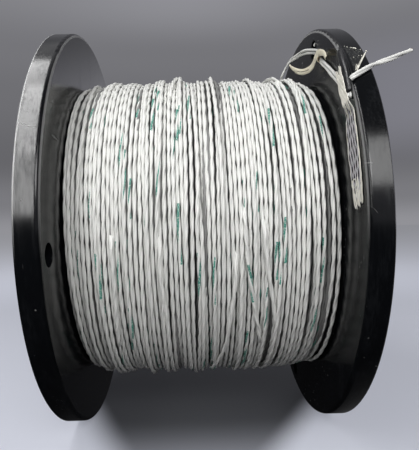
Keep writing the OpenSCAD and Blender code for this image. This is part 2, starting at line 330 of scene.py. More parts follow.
def laid_sheet(
    name: str, cells: tuple[int, int], place: Callable[[float, float], Vector]
) -> bpy.types.Object:
    """Lays a flat grid over a seat.

    Args:
        name: The piece's name.
        cells: How many cells it has along and across.
        place: Where a point at a share along and a share across goes.

    Returns:
        The new object, one layer thick, with a UV map of both shares.
    """
    deselect_all()
    along, across = cells
    bpy.ops.mesh.primitive_grid_add(
        x_subdivisions=along, y_subdivisions=across, size=2, location=(0, 0, 0), calc_uvs=True
    )
    piece = bpy.context.object
    piece.name = piece.data.name = name
    piece.data.uv_layers[0].name = "strip"
    for vertex in piece.data.vertices:
        vertex.co = place((vertex.co.x + 1) / 2, (vertex.co.y + 1) / 2)
    piece.data.update()
    return piece


# ---- Shader nodes ----


class Bench:
    """Adds nodes to one node tree and wires them up."""

    def __init__(self, tree: bpy.types.NodeTree) -> None:
        """Starts on a node tree."""
        self.tree = tree

    def feed(self, socket: Socket, value: object) -> None:
        """Links a socket to another one, or sets it to a value."""
        if isinstance(value, Socket):
            self.tree.links.new(value, socket)
        else:
            socket.default_value = value

    def node(self, kind: str, inputs: dict | None = None, **settings: object) -> bpy.types.Node:
        """Adds a node, sets its properties and then feeds its inputs.

        Args:
            kind: The node's type.
            inputs: What each input is fed with, by its name or place.
            settings: The node's properties.

        Returns:
            The new node.
        """
        made = self.tree.nodes.new(kind)
        for name, value in settings.items():
            setattr(made, name, value)
        for key, value in (inputs or {}).items():
            self.feed(made.inputs[key], value)
        return made

    def where(self, output: str = "Object") -> Socket:
        """Returns an output of a new texture coordinate node."""
        return self.node("ShaderNodeTexCoord").outputs[output]

    def math(
        self, operation: str, a: object, b: object = 0.0, c: object = 0.0, clamp: bool = False
    ) -> Socket:
        """Adds a math node and returns its result."""
        inputs = {0: a, 1: b, 2: c}
        return self.node("ShaderNodeMath", inputs, operation=operation, use_clamp=clamp).outputs[0]

    def product(self, result: object, *others: object) -> Socket:
        """Multiplies values by one another."""
        for other in others:
            result = self.math("MULTIPLY", result, other)
        return result

    def noise(self, vector: object, scale: object, detail: float = 3.0, roughness: float = 0.5) -> Socket:
        """Adds a noise texture and returns its value."""
        inputs = {"Vector": vector, "Scale": scale, "Detail": detail, "Roughness": roughness}
        return self.node("ShaderNodeTexNoise", inputs).outputs[0]

    def stretch(self, vector: object, scale: Place) -> Socket:
        """Scales a vector by axis."""
        return self.node("ShaderNodeMapping", {"Vector": vector, "Scale": scale}).outputs[0]

    def between(
        self, value: object, low: float, high: float, out_low: object = 0.0, out_high: object = 1.0
    ) -> Socket:
        """Maps a range of values smoothly to another one."""
        inputs = {0: value, 1: low, 2: high, 3: out_low, 4: out_high}
        return self.node("ShaderNodeMapRange", inputs, interpolation_type="SMOOTHSTEP").outputs[0]

    def mix(self, factor: object, a: object, b: object) -> Socket:
        """Mixes two colours."""
        return self.node("ShaderNodeMix", {0: factor, 6: a, 7: b}, data_type="RGBA").outputs[2]

    def split(self, vector: object) -> list[Socket]:
        """Returns the three parts of a vector."""
        return list(self.node("ShaderNodeSeparateXYZ", {0: vector}).outputs)

    def bump(self, height: object, strength: float, distance: float, over: object = None) -> Socket:
        """Adds a bump node, over another normal if there is one, and returns its normal."""
        inputs = {"Height": height, "Strength": strength, "Distance": distance}
        if over is not None:
            inputs["Normal"] = over
        return self.node("ShaderNodeBump", inputs).outputs[0]

    def shared(self, kind: "Effect", **inputs: object) -> bpy.types.bpy_prop_collection:
        """Places a shared effect with its own input values and returns its outputs."""
        named = {name.capitalize(): value for name, value in inputs.items()}
        return self.node("ShaderNodeGroup", named, node_tree=effect(kind)).outputs

    def drift(self, vector: object, scale: float) -> Socket:
        """Returns a slow change of tone between -1 and 1."""
        return self.shared(Effect.DRIFT, vector=vector, scale=scale)["Tone"]

    def surface(
        self, shader: bpy.types.Node, colour: object, roughness: object, normal: object = None
    ) -> None:
        """Feeds a shader's colour, roughness and, if there is one, normal."""
        self.feed(shader.inputs["Base Color"], colour)
        self.feed(shader.inputs["Roughness"], roughness)
        if normal is not None:
            self.feed(shader.inputs["Normal"], normal)


class Effect(Enum):
    """The surface effects that several finishes share."""

    STREAKS = "Streaks"
    DUST = "Dust"
    DRIFT = "Drift"


def new_group(kind: Effect, inputs: dict[str, float], outputs: Sequence[str]) -> tuple:
    """Starts a node group with a vector input.

    Args:
        kind: The effect that the group makes.
        inputs: The number inputs and their usual values.
        outputs: The names of its outputs, all of them numbers.

    Returns:
        The bench, what the group is given and what it puts out.
    """
    tree = bpy.data.node_groups.new(kind.value, "ShaderNodeTree")
    add = tree.interface.new_socket
    add(name="Vector", in_out="INPUT", socket_type="NodeSocketVector")
    for label, value in inputs.items():
        add(name=label, in_out="INPUT", socket_type="NodeSocketFloat").default_value = value
    for label in outputs:
        add(name=label, in_out="OUTPUT", socket_type="NodeSocketFloat")
    bench = Bench(tree)
    return bench, bench.node("NodeGroupInput").outputs, bench.node("NodeGroupOutput").inputs


BROAD_STREAKS = (0.16, 0.16, 0.5)
STREAKS_SEEN = (0.22, 0.42)
SPECK_SIZE = (0.05, 0.16, 1.0, 0.0)
SPECKS_CHOSEN = (0.80, 0.86)
DUSTY_PATCHES = (0.42, 0.62)
PATCH_SCALE = 22.0
SCRATCH_STRETCH = (1.0, 0.12, 1.0)
SCRATCH_SCALE = 26.0
SCRATCH_WIDTH = (0.0, 0.005, 1.0, 0.0)
SCRATCH_PARTS = (0.62, 0.70)
SCRATCH_PART_SCALE = 80.0


def streaks_group() -> bpy.types.NodeTree:
    """Makes long fine parallel marks, as on sawn or extruded plastic and on drawn steel."""
    bench, given, out = new_group(Effect.STREAKS, {"Fineness": 900.0, "Length": 14.0}, ("Height", "Mask"))
    scales = (given["Fineness"], given["Fineness"], given["Length"])
    parts = [bench.product(part, scale) for part, scale in zip(bench.split(given["Vector"]), scales)]
    drawn = bench.node("ShaderNodeCombineXYZ", dict(enumerate(parts))).outputs[0]
    fine = bench.noise(drawn, 1.0, 4.0, 0.6)
    broad = bench.noise(bench.stretch(drawn, BROAD_STREAKS), 1.0, 2.0)
    bench.feed(out["Height"], bench.math("ADD", fine, broad))
    bench.feed(out["Mask"], bench.between(bench.product(fine, broad), *STREAKS_SEEN))
    return bench.tree


def dust_group() -> bpy.types.NodeTree:
    """Makes sparse pale specks and a few short scratches."""
    bench, given, out = new_group(Effect.DUST, {"Specks": 260.0, "Amount": 0.5}, ("Mask", "Scratches"))
    vector, amount = given["Vector"], given["Amount"]
    cells = bench.node("ShaderNodeTexVoronoi", {"Vector": vector, "Scale": given["Specks"]}).outputs
    specks = bench.between(cells["Distance"], *SPECK_SIZE)
    dice = bench.node("ShaderNodeSeparateColor", {0: cells["Color"]}).outputs
    chosen = bench.between(dice[0], *SPECKS_CHOSEN)
    patches = bench.between(bench.noise(vector, PATCH_SCALE, 2.0), *DUSTY_PATCHES)
    bench.feed(out["Mask"], bench.product(specks, chosen, patches, amount))
    waves = bench.noise(bench.stretch(vector, SCRATCH_STRETCH), SCRATCH_SCALE, 0.0)
    lines = bench.between(bench.math("ABSOLUTE", bench.math("SUBTRACT", waves, 0.5)), *SCRATCH_WIDTH)
    parts = bench.between(bench.noise(vector, SCRATCH_PART_SCALE, 1.0), *SCRATCH_PARTS)
    bench.feed(out["Scratches"], bench.product(lines, parts, amount))
    return bench.tree


def drift_group() -> bpy.types.NodeTree:
    """Makes a slow change of tone, so that no large surface has one flat colour."""
    bench, given, out = new_group(Effect.DRIFT, {"Scale": 30.0}, ("Tone",))
    noise = bench.noise(given["Vector"], given["Scale"])
    bench.feed(out["Tone"], bench.math("MULTIPLY_ADD", noise, 2.0, -1.0))
    return bench.tree


EFFECT_MAKERS: dict[Effect, Callable[[], bpy.types.NodeTree]] = {
    Effect.STREAKS: streaks_group,
    Effect.DUST: dust_group,
    Effect.DRIFT: drift_group,
}


def effect(kind: Effect) -> bpy.types.NodeTree:
    """Returns a shared effect's node group, made the first time it is asked for."""
    return bpy.data.node_groups.get(kind.value) or EFFECT_MAKERS[kind]()


# ---- Finishes ----


GRAIN_SPREAD = (0.2, 0.8)


@dataclass(frozen=True)
class Finish:
    """One material. A finish says how its nodes are laid in dress()."""

    name: str = "finish"

    def material(self) -> bpy.types.Material:
        """Returns the material, made the first time it is asked for."""
        made = bpy.data.materials.get(self.name)
        if made:
            return made
        made = bpy.data.materials.new(self.name)
        made.use_nodes = True
        self.dress(Bench(made.node_tree), made.node_tree.nodes["Principled BSDF"])
        return made

    def dress(self, bench: Bench, shader: bpy.types.Node) -> None:
        """Lays the nodes of this finish."""
        raise NotImplementedError


@dataclass(frozen=True)
class FlangePlastic(Finish):
    """Glossy black plastic with long upright marks, scratches, dust and painted highlights along the upper
    rim edges.

    Attributes:
        outer_edge: Where along the axis the left rim's outer edge is.
        inner_edge: Where along the axis the inner edges are, and how much fainter they are.
        edge_radius: How far from the axis the painted edge highlights are.
        edge_height: From which height up the edges get painted highlights, as light catches their upper part.
    """

    name: str = "Flange plastic"
    colour: Colour = (0.0030, 0.0034, 0.0042, 1)
    worn: Colour = (0.011, 0.012, 0.014, 1)
    dust: Colour = (0.45, 0.45, 0.43, 1)
    # Painted highlight: the pale colour of the thin lines on the upper rim edges.
    painted_edge_highlight: Colour = (0.60, 0.60, 0.60, 1)
    mark_share: float = 0.4
    scratch_share: float = 0.5
    roughness: float = 0.165
    drift_roughness: float = 0.05
    mark_roughness: float = 0.10
    dust_roughness: float = 0.4
    ior: float = 1.4
    relief: tuple = (0.35, 0.0001)
    edge_round: float = 0.0007
    outer_edge: tuple = (0.1002, 0.1007)
    inner_edge: tuple = (0.0873, 0.0878, 0.35, 0.0)
    edge_radius: tuple = (0.1496, 0.1502)
    edge_height: tuple = (-0.02, 0.03)

    def painted_edge_highlights(self, bench: Bench) -> Socket:
        """Returns a mask of painted highlights: thin pale lines on the upper edges of the rims, where light
        catches them.
        """
        x, y, z = bench.split(bench.where())
        squares = bench.math("ADD", bench.math("POWER", y, 2.0), bench.math("POWER", z, 2.0))
        reach = bench.math("SQRT", squares)
        outer = bench.between(bench.product(x, -1.0), *self.outer_edge)
        inner = bench.between(bench.math("ABSOLUTE", x), *self.inner_edge)
        near_rim = bench.between(reach, *self.edge_radius)
        upper = bench.between(z, *self.edge_height)
        return bench.product(bench.math("ADD", outer, inner), near_rim, upper)

    def dress(self, bench: Bench, shader: bpy.types.Node) -> None:
        """Lays marks, scratches, painted edge highlights and dust over a black gloss."""
        where = bench.where()
        marks = bench.shared(Effect.STREAKS, vector=where, fineness=700.0, length=16.0)
        dust = bench.shared(Effect.DUST, vector=where, specks=240.0, amount=0.55)
        scratches = bench.product(dust["Scratches"], self.scratch_share)
        dusty = bench.math("ADD", dust["Mask"], scratches, clamp=True)
        grey = bench.mix(bench.product(marks["Mask"], self.mark_share), self.colour, self.worn)
        # Painted highlight: pale lines on the upper rim edges stand in for light caught by the rounded edges.
        colour = bench.mix(self.painted_edge_highlights(bench), bench.mix(dusty, grey, self.dust), self.painted_edge_highlight)
        rough = bench.math("MULTIPLY_ADD", bench.drift(where, 24.0), self.drift_roughness, self.roughness)
        rough = bench.math("MULTIPLY_ADD", marks["Mask"], self.mark_roughness, rough)
        rough = bench.math("ADD", rough, bench.product(dusty, self.dust_roughness), clamp=True)
        rounded = bench.node("ShaderNodeBevel", {"Radius": self.edge_round}, samples=4).outputs[0]
        bench.surface(shader, colour, rough, bench.bump(marks["Height"], *self.relief, rounded))
        shader.inputs["IOR"].default_value = self.ior


@dataclass(frozen=True)
class WireInsulation(Finish):
    """Smooth off-white insulation with short green printed dashes.

    Attributes:
        mark_every: How far apart the dashes are along a strand.
        mark_lengths: The part of a dash's length that changes from dash to dash, and the rest.
        mark_width: The share of the way round a strand that a dash takes.
        mark_sides: How far round from the outer side the dashes may lie, and do at least.
        bars: How often a dash breaks up, along a strand and round it.
    """

    name: str = "Wire insulation"
    colour: Colour = (0.77, 0.77, 0.74, 1)
    greyer: Colour = (0.66, 0.665, 0.65, 1)
    mark_colour: Colour = (0.03, 0.24, 0.18, 1)
    mark_every: float = 0.62
    mark_length: float = 0.036
    mark_lengths: tuple = (0.4, 0.65)
    mark_width: float = 0.34
    mark_sides: tuple = (0.5, 0.25)
    bars: Place = (1000.0, 14.0, 1.0)
    printed: tuple = (0.36, 0.46)
    tones: tuple = (-0.3, 0.9)
    roughness: tuple = (0.28, 0.41)
    grain: float = 500.0
    relief: tuple = (0.1, 0.00005)

    def marks(self, bench: Bench, uv: Socket) -> Socket:
        """Returns a mask of the printed dashes, one at a random place in each stretch of a strand."""
        along, round_it, _ = bench.split(uv)
        stretches = bench.math("DIVIDE", along, self.mark_every)
        in_stretch = bench.product(bench.math("FRACT", stretches), self.mark_every)
        inputs = {"W": bench.math("FLOOR", stretches)}
        dice = bench.node("ShaderNodeTexWhiteNoise", inputs, noise_dimensions="1D").outputs["Color"]
        place, size, side = list(bench.node("ShaderNodeSeparateColor", {0: dice}).outputs)[:3]
        start = bench.product(place, self.mark_every - 2 * self.mark_length)
        length = bench.product(bench.math("MULTIPLY_ADD", size, *self.mark_lengths), self.mark_length)
        past_start = bench.math("SUBTRACT", in_stretch, start)
        started = bench.math("GREATER_THAN", past_start, 0.0)
        not_ended = bench.math("LESS_THAN", past_start, length)
        turned = bench.math("ADD", round_it, bench.math("MULTIPLY_ADD", side, *self.mark_sides))
        off_middle = bench.math("ABSOLUTE", bench.math("SUBTRACT", bench.math("FRACT", turned), 0.5))
        on_side = bench.math("LESS_THAN", off_middle, self.mark_width / 2)
        printed = bench.between(bench.noise(bench.stretch(uv, self.bars), 1.0, 1.0), *self.printed)
        return bench.product(started, not_ended, on_side, printed)

    def dress(self, bench: Bench, shader: bpy.types.Node) -> None:
        """Lays the slow change of tone and the printed dashes along each strand."""
        uv = bench.node("ShaderNodeUVMap", uv_map="strand").outputs[0]
        tone = bench.drift(uv, 9.0)
        shade = bench.mix(bench.between(tone, *self.tones), self.colour, self.greyer)
        colour = bench.mix(self.marks(bench, uv), shade, self.mark_colour)
        grain = bench.noise(bench.where(), self.grain, 2.0)
        rough = bench.between(tone, -1.0, 1.0, *self.roughness)
        bench.surface(shader, colour, rough, bench.bump(grain, *self.relief))


WIRE = WireInsulation()
# Painted shade: darker copies of the wire insulation for the layer under the outer turns and for the body
# inside, standing in for the shade between the turns.
SHADED_UNDER_WIRE = WireInsulation("Under-layer insulation in painted shade", (0.22, 0.22, 0.215, 1), (0.16, 0.16, 0.155, 1))
SHADED_WIRE = WireInsulation("Shaded insulation", (0.06, 0.06, 0.06, 1), (0.04, 0.04, 0.04, 1))


@dataclass(frozen=True)
class ZincSteel(Finish):
    """Zinc-plated steel with drawn marks and a few dull spots."""

    name: str = "Zinc steel"
    colour: Colour = (0.55, 0.56, 0.58, 1)
    dull: Colour = (0.32, 0.32, 0.31, 1)
    spots: tuple = (0.1, 0.8)
    roughness: float = 0.3
    mark_roughness: float = 0.2
    relief: tuple = (0.2, 0.00005)

    def dress(self, bench: Bench, shader: bpy.types.Node) -> None:
        """Lays fine drawn marks over bright metal."""
        where = bench.where()
        marks = bench.shared(Effect.STREAKS, vector=where, fineness=2600.0, length=300.0)
        spots = bench.between(bench.drift(where, 160.0), *self.spots)
        rough = bench.math("MULTIPLY_ADD", marks["Mask"], self.mark_roughness, self.roughness)
        colour = bench.mix(spots, self.colour, self.dull)
        bench.surface(shader, colour, rough, bench.bump(marks["Height"], *self.relief))
        shader.inputs["Metallic"].default_value = 1.0


@dataclass(frozen=True)
class BareCopper(Finish):
    """Bare copper, freshly cut."""

    name: str = "Bare copper"
    colour: Colour = (0.72, 0.30, 0.17, 1)
    tarnish: Colour = (0.25, 0.10, 0.08, 1)
    roughness: tuple = (0.25, 0.45)

    def dress(self, bench: Bench, shader: bpy.types.Node) -> None:
        """Lays tarnish over bright copper."""
        tone = bench.drift(bench.where(), 1500.0)
        colour = bench.mix(bench.between(tone, 0.0, 0.8), self.colour, self.tarnish)
        bench.surface(shader, colour, bench.between(tone, -1.0, 1.0, *self.roughness))
        shader.inputs["Metallic"].default_value = 1.0


@dataclass(frozen=True)
class ClearFilm(Finish):
    """Clear glossy film that is barely seen, with faint hairs along it.

    Attributes:
        clearness: How much of the film is seen between the hairs, and how much of the hairs.
        hairs: How often hairs repeat along the film and across it.
    """

    name: str = "Clear film"
    colour: Colour = (0.22, 0.23, 0.22, 1)
    hair_colour: Colour = (0.8, 0.8, 0.75, 1)
    clearness: tuple = (0.05, 0.3)
    hairs: Place = (5.0, 90.0, 1.0)
    hair_width: tuple = (0.60, 0.72)
    roughness: tuple = (0.08, 0.2)
    relief: tuple = (0.5, 0.0004)

    def dress(self, bench: Bench, shader: bpy.types.Node) -> None:
        """Lays hairs and ripples over a nearly clear gloss."""
        uv = bench.node("ShaderNodeUVMap", uv_map="strip").outputs[0]
        hair = bench.between(bench.noise(bench.stretch(uv, self.hairs), 1.0, 2.0), *self.hair_width)
        tone = bench.drift(bench.where(), 180.0)
        colour = bench.mix(hair, self.colour, self.hair_colour)
        rough = bench.between(tone, -1.0, 1.0, *self.roughness)
        bench.surface(shader, colour, rough, bench.bump(tone, *self.relief))
        bench.feed(shader.inputs["Alpha"], bench.between(hair, 0.0, 1.0, *self.clearness))


@dataclass(frozen=True)
class Grained(Finish):
    """A material whose fine grain changes its colour, its gloss and its relief.

    Attributes:
        other: The colour that the grain and a slow change of tone bring in.
        grain: How often the grain repeats along each axis.
        grain_ramp: Where on the grain the other colour comes in, if it comes with the grain alone.
        drift_ramp: The same for the change of tone.
        shares: How much of it the grain and the change of tone bring in, if both do.
        dust: The colour of the dust on it, if there is any.
    """

    colour: Colour = (0.5, 0.5, 0.5, 1)
    other: Colour = (0.4, 0.4, 0.4, 1)
    grain: Place = (100.0, 100.0, 100.0)
    detail: float = 3.0
    roughness: tuple = (0.7, 0.9)
    relief: tuple = (0.4, 0.0001)
    drift_scale: float = 40.0
    grain_ramp: tuple = ()
    drift_ramp: tuple = ()
    shares: tuple = (0.6, 0.25)
    dust: tuple = ()

    def blend(self, bench: Bench, where: Socket, grain: Socket) -> Socket:
        """Returns how much of the other colour there is."""
        if self.grain_ramp:
            return bench.between(grain, *self.grain_ramp)
        tone = bench.drift(where, self.drift_scale)
        if self.drift_ramp:
            return bench.between(tone, *self.drift_ramp)
        by_grain, by_tone = self.shares
        return bench.math("ADD", bench.product(grain, by_grain), bench.product(tone, by_tone), clamp=True)

    def dress(self, bench: Bench, shader: bpy.types.Node) -> None:
        """Lays the grain."""
        where = bench.where()
        grain = bench.noise(bench.stretch(where, self.grain), 1.0, self.detail)
        colour = bench.mix(self.blend(bench, where, grain), self.colour, self.other)
        if self.dust:
            specks = bench.shared(Effect.DUST, vector=where, specks=700.0, amount=0.5)["Mask"]
            colour = bench.mix(specks, colour, self.dust)
        rough = bench.between(grain, *GRAIN_SPREAD, *self.roughness)
        bench.surface(shader, colour, rough, bench.bump(grain, *self.relief))


DRUM_BOARD = Grained(
    "Drum board", (0.36, 0.23, 0.12, 1), (0.22, 0.13, 0.06, 1), (90.0, 900.0, 900.0),
    detail=4.0, relief=(0.3, 0.0002),
)
CREAM_TAPE = Grained(
    "Cream tape", (0.80, 0.75, 0.60, 1), (0.66, 0.55, 0.36, 1), (300.0, 1300.0, 1300.0),
    roughness=(0.45, 0.65), relief=(0.3, 0.0001), drift_scale=120.0, drift_ramp=(0.0, 1.0, 0.0, 0.7),
)
TAN_TAPE = replace(CREAM_TAPE, name="Curl lining tan", colour=(0.42, 0.31, 0.17, 1), other=(0.26, 0.17, 0.08, 1))
GLUED_FIBRE = Grained(
    "Glued fibre", (0.84, 0.82, 0.74, 1), (0.52, 0.49, 0.41, 1), (2200.0, 2200.0, 160.0),
    roughness=(0.3, 0.5), drift_scale=260.0, shares=(0.5, 0.35),
)
TAPE_FIBRE = replace(
    GLUED_FIBRE, name="Tape fibre", colour=(0.58, 0.56, 0.59, 1), other=(0.34, 0.32, 0.35, 1)
)
STRING_FIBRE = Grained(
    "String fibre", (0.78, 0.78, 0.75, 1), (0.45, 0.45, 0.42, 1), (900.0, 2400.0, 900.0),
    detail=2.0, grain_ramp=(0.4, 0.7),
)
BLACK_VINYL = Grained(
    "Black vinyl", (0.008, 0.008, 0.009, 1), (0.05, 0.05, 0.052, 1), (500.0, 180.0, 180.0),
    roughness=(0.22, 0.42), relief=(0.4, 0.0002), grain_ramp=(0.5, 0.75, 0.0, 0.5), dust=(0.5, 0.5, 0.48, 1),
)


# ---- Camera, light and floor ----


@dataclass(frozen=True)
class Panel:
    """One soft light: a rectangle that shines from its place towards a point."""

    name: str
    place: Place
    target: Place
    size: tuple
    radiance: float

    def hang(self) -> None:
        """Adds the light, with the power that gives its surface its radiance."""
        deselect_all()
        bpy.ops.object.light_add(type="AREA", location=self.place)
        lamp = bpy.context.object
        lamp.name = self.name
        lamp.data.shape = "RECTANGLE"
        lamp.data.size, lamp.data.size_y = self.size
        lamp.data.energy = self.radiance * math.pi * self.size[0] * self.size[1]
        aimed = (Vector(self.target) - Vector(self.place)).to_track_quat("-Z", "Y").to_matrix()
        lamp.matrix_world = Matrix.Translation(self.place) @ aimed.to_4x4()


def share_of(colour: Colour, share: float) -> Colour:
    """Returns a share of a colour."""
    return tuple(tone * share for tone in colour[:3]) + (1,)


@dataclass(frozen=True)
class Room:
    """The grey room round the spool.

    Attributes:
        heights: The heights, as parts of the way there, at which the wall's tone is given.
        blue: How much bluer than grey it is.
        light: What it shines with on the spool.
        right_wall: A paler belt from right_from on, between belt_foot and belt_top.
        top_centre: A paler middle of its top, within centre and above high_up.
        mirrored_low: How bright it is in glossy faces low down, from side to side.
        mirrored_high: The same high up, with the change at mirrored_heights.
        mirrored_behind: The same from the front to behind the spool.
    """

    heights: tuple = (0.0, 0.06, 0.142, 0.27, 0.345, 0.45)
    tones: tuple = (0.285, 0.195, 0.133, 0.158, 0.178, 0.235)
    blue: float = 1.08
    light: Colour = (0.025, 0.025, 0.026, 1)
    right_wall: Colour = (0.205, 0.205, 0.235, 1)
    right_from: tuple = (0.1, 0.45)
    belt_foot: tuple = (0.08, 0.22)
    belt_top: tuple = (0.28, 0.40, 1.0, 0.0)
    top_centre: Colour = (0.275, 0.275, 0.300, 1)
    centre: tuple = (0.0, 0.35, 1.0, 0.0)
    high_up: tuple = (0.36, 0.46)
    mirrored_low: tuple = (-0.15, 0.15, 0.25, 5.0)
    mirrored_heights: tuple = (0.12, 0.42)
    mirrored_high: float = 0.8
    mirrored_behind: tuple = (-0.1, 0.1, 0.4, 1.0)

    def wall(self, bench: Bench, x: Socket, z: Socket) -> Socket:
        """Returns the wall's colour in each direction."""
        colours = [(tone, tone, tone * self.blue, 1) for tone in self.tones]
        wall = colours[0]
        for low, high, colour in zip(self.heights, self.heights[1:], colours[1:]):
            wall = bench.mix(bench.between(z, low, high), wall, colour)
        belt = bench.product(bench.between(z, *self.belt_foot), bench.between(z, *self.belt_top))
        wall = bench.mix(bench.product(bench.between(x, *self.right_from), belt), wall, self.right_wall)
        middle = bench.between(bench.math("ABSOLUTE", x), *self.centre)
        return bench.mix(bench.product(middle, bench.between(z, *self.high_up)), wall, self.top_centre)

    def build(self) -> None:
        """Sets the world: as it is seen, as it is mirrored and as it shines."""
        world = bpy.data.worlds.new("Room")
        bpy.context.scene.world = world
        world.use_nodes = True
        bench = Bench(world.node_tree)
        shown = world.node_tree.nodes["Background"]
        x, y, z = bench.split(bench.where("Generated"))
        rays = bench.node("ShaderNodeLightPath").outputs
        glossy = rays["Is Glossy Ray"]
        seen = bench.math("MAXIMUM", rays["Is Camera Ray"], rays["Is Transmission Ray"])
        seen = bench.math("MAXIMUM", seen, glossy)
        bench.feed(shown.inputs["Color"], bench.mix(seen, self.light, self.wall(bench, x, z)))
        low_down = bench.between(x, *self.mirrored_low)
        sideways = bench.between(z, *self.mirrored_heights, low_down, self.mirrored_high)
        mirrored = bench.product(glossy, sideways, bench.between(y, *self.mirrored_behind))
        plain = bench.math("SUBTRACT", 1.0, glossy)
        bench.feed(shown.inputs["Strength"], bench.math("ADD", mirrored, plain))


@dataclass(frozen=True)
class Floor:
    """The pale floor. Far away it takes on the room's colour, so that no line is seen.

    Attributes:
        near: Its colour by lamplight.
        lit: The glow that stands in for far light on it.
        horizon: Its glow far away, which changes to lit over near_glow.
        bounced: Its colour as other surfaces are lit by it.
        shadow_near: What the shadow leaves of its colour. shadow_lit is the same for its glow.
        shadow_lean: How far the shadow leans to the side towards its back.
        shadow_spread: How much it widens to the front, where shadow_foot is the most that it does.
        shadow_back: Where it ends behind the spool.
        evened: How the glow takes over from lamplight with nearness.
        dimmer: How much dimmer the right side gets, down to a dimmed share.
        mirrored_right: What glossy faces mirror of its right part, from right_from on.
        mirrored_strip: The same for the dark strip on the left, round strip_x.
    """

    size: float = 60.0
    roughness: float = 0.6
    near: Colour = (0.72, 0.74, 0.82, 1)
    lit: Colour = (0.60, 0.62, 0.71, 1)
    horizon: Colour = (0.285, 0.287, 0.310, 1)
    bounced: Colour = (0.12, 0.12, 0.13, 1)
    shadow_near: float = 0.145
    shadow_lit: float = 0.057
    shadow_lean: float = -0.09
    shadow_spread: float = -0.5
    shadow_foot: float = -0.04
    shadow_back: float = 0.07
    shadow_sides: tuple = (0.080, 0.116, 1.0, 0.0)
    shadow_ends: tuple = (0.03, 0.21, 1.0, 0.0)
    far_offset: float = 0.4
    near_glow: tuple = (0.0, 0.9)
    evened: tuple = (0.5, 1.05, 1.0, 0.5)
    dimmer: tuple = (0.25, 1.0, 0.0, 0.2)
    dimmed: float = 0.3
    mirrored_left: Colour = (0.008, 0.008, 0.009, 1)
    mirrored_right: Colour = (0.19, 0.19, 0.195, 1)
    mirrored_strip: Colour = (0.02, 0.02, 0.022, 1)
    right_from: tuple = (0.09, 0.14)
    front_to: tuple = (-0.15, -0.05)
    strip_x: float = 0.06
    strip: tuple = (0.03, 0.06, 1.0, 0.0)

    def shadow(self, bench: Bench, x: Socket, y: Socket) -> Socket:
        """Returns a mask of the spool's shadow."""
        beside = bench.math("ADD", x, bench.product(y, self.shadow_lean))
        frontwards = bench.math("MAXIMUM", bench.product(y, self.shadow_spread), self.shadow_foot)
        off_middle = bench.math("ADD", bench.math("ABSOLUTE", beside), frontwards)
        backwards = bench.math("SUBTRACT", y, self.shadow_back)
        off_foot = bench.math("MAXIMUM", bench.product(y, -1.0), backwards)
        sides = bench.between(off_middle, *self.shadow_sides)
        return bench.product(sides, bench.between(off_foot, *self.shadow_ends))

    def glow(self, bench: Bench, x: Socket, nearness: Socket, shadow: Socket) -> Socket:
        """Returns the colour that the floor glows with as it is seen."""
        glow = bench.mix(bench.between(nearness, *self.near_glow), self.horizon, self.lit)
        glow = bench.mix(bench.between(x, *self.dimmer), glow, share_of(self.lit, self.dimmed))
        return bench.mix(shadow, glow, share_of(self.lit, self.shadow_lit))

    def mirrored(self, bench: Bench, x: Socket, y: Socket) -> Socket:
        """Returns the floor's colour as glossy faces mirror it."""
        right = bench.product(bench.between(x, *self.right_from), bench.between(y, *self.front_to))
        colour = bench.mix(right, self.mirrored_left, self.mirrored_right)
        off_strip = bench.math("ABSOLUTE", bench.math("ADD", x, self.strip_x))
        return bench.mix(bench.between(off_strip, *self.strip), colour, self.mirrored_strip)

    def build(self, height: float) -> None:
        """Adds the floor at a height."""
        deselect_all()
        bpy.ops.mesh.primitive_plane_add(size=self.size, location=(0, 0, height))
        floor = bpy.context.object
        floor.name = "floor"
        material = bpy.data.materials.new("Floor")
        material.use_nodes = True
        bench = Bench(material.node_tree)
        shader = material.node_tree.nodes["Principled BSDF"]
        output = material.node_tree.nodes["Material Output"]
        where = bench.where()
        x, y, _ = bench.split(where)
        distance = bench.node("ShaderNodeVectorMath", {0: where}, operation="LENGTH").outputs["Value"]
        nearness = bench.math("DIVIDE", 1.0, bench.math("ADD", distance, self.far_offset))
        rays = bench.node("ShaderNodeLightPath").outputs
        shadow = self.shadow(bench, x, y)
        laid = bench.mix(shadow, self.near, share_of(self.near, self.shadow_near))
        bench.surface(shader, bench.mix(rays["Is Diffuse Ray"], laid, self.bounced), self.roughness)
        seen, glossy = self.glow(bench, x, nearness, shadow), rays["Is Glossy Ray"]
        colour = bench.mix(glossy, seen, self.mirrored(bench, x, y))
        glow = bench.node("ShaderNodeEmission", {"Color": colour}).outputs[0]
        evened = bench.product(bench.between(nearness, *self.evened), rays["Is Camera Ray"])
        inputs = {0: bench.math("MAXIMUM", evened, glossy), 1: shader.outputs[0], 2: glow}
        bench.feed(output.inputs["Surface"], bench.node("ShaderNodeMixShader", inputs).outputs[0])
        floor.data.materials.append(material)


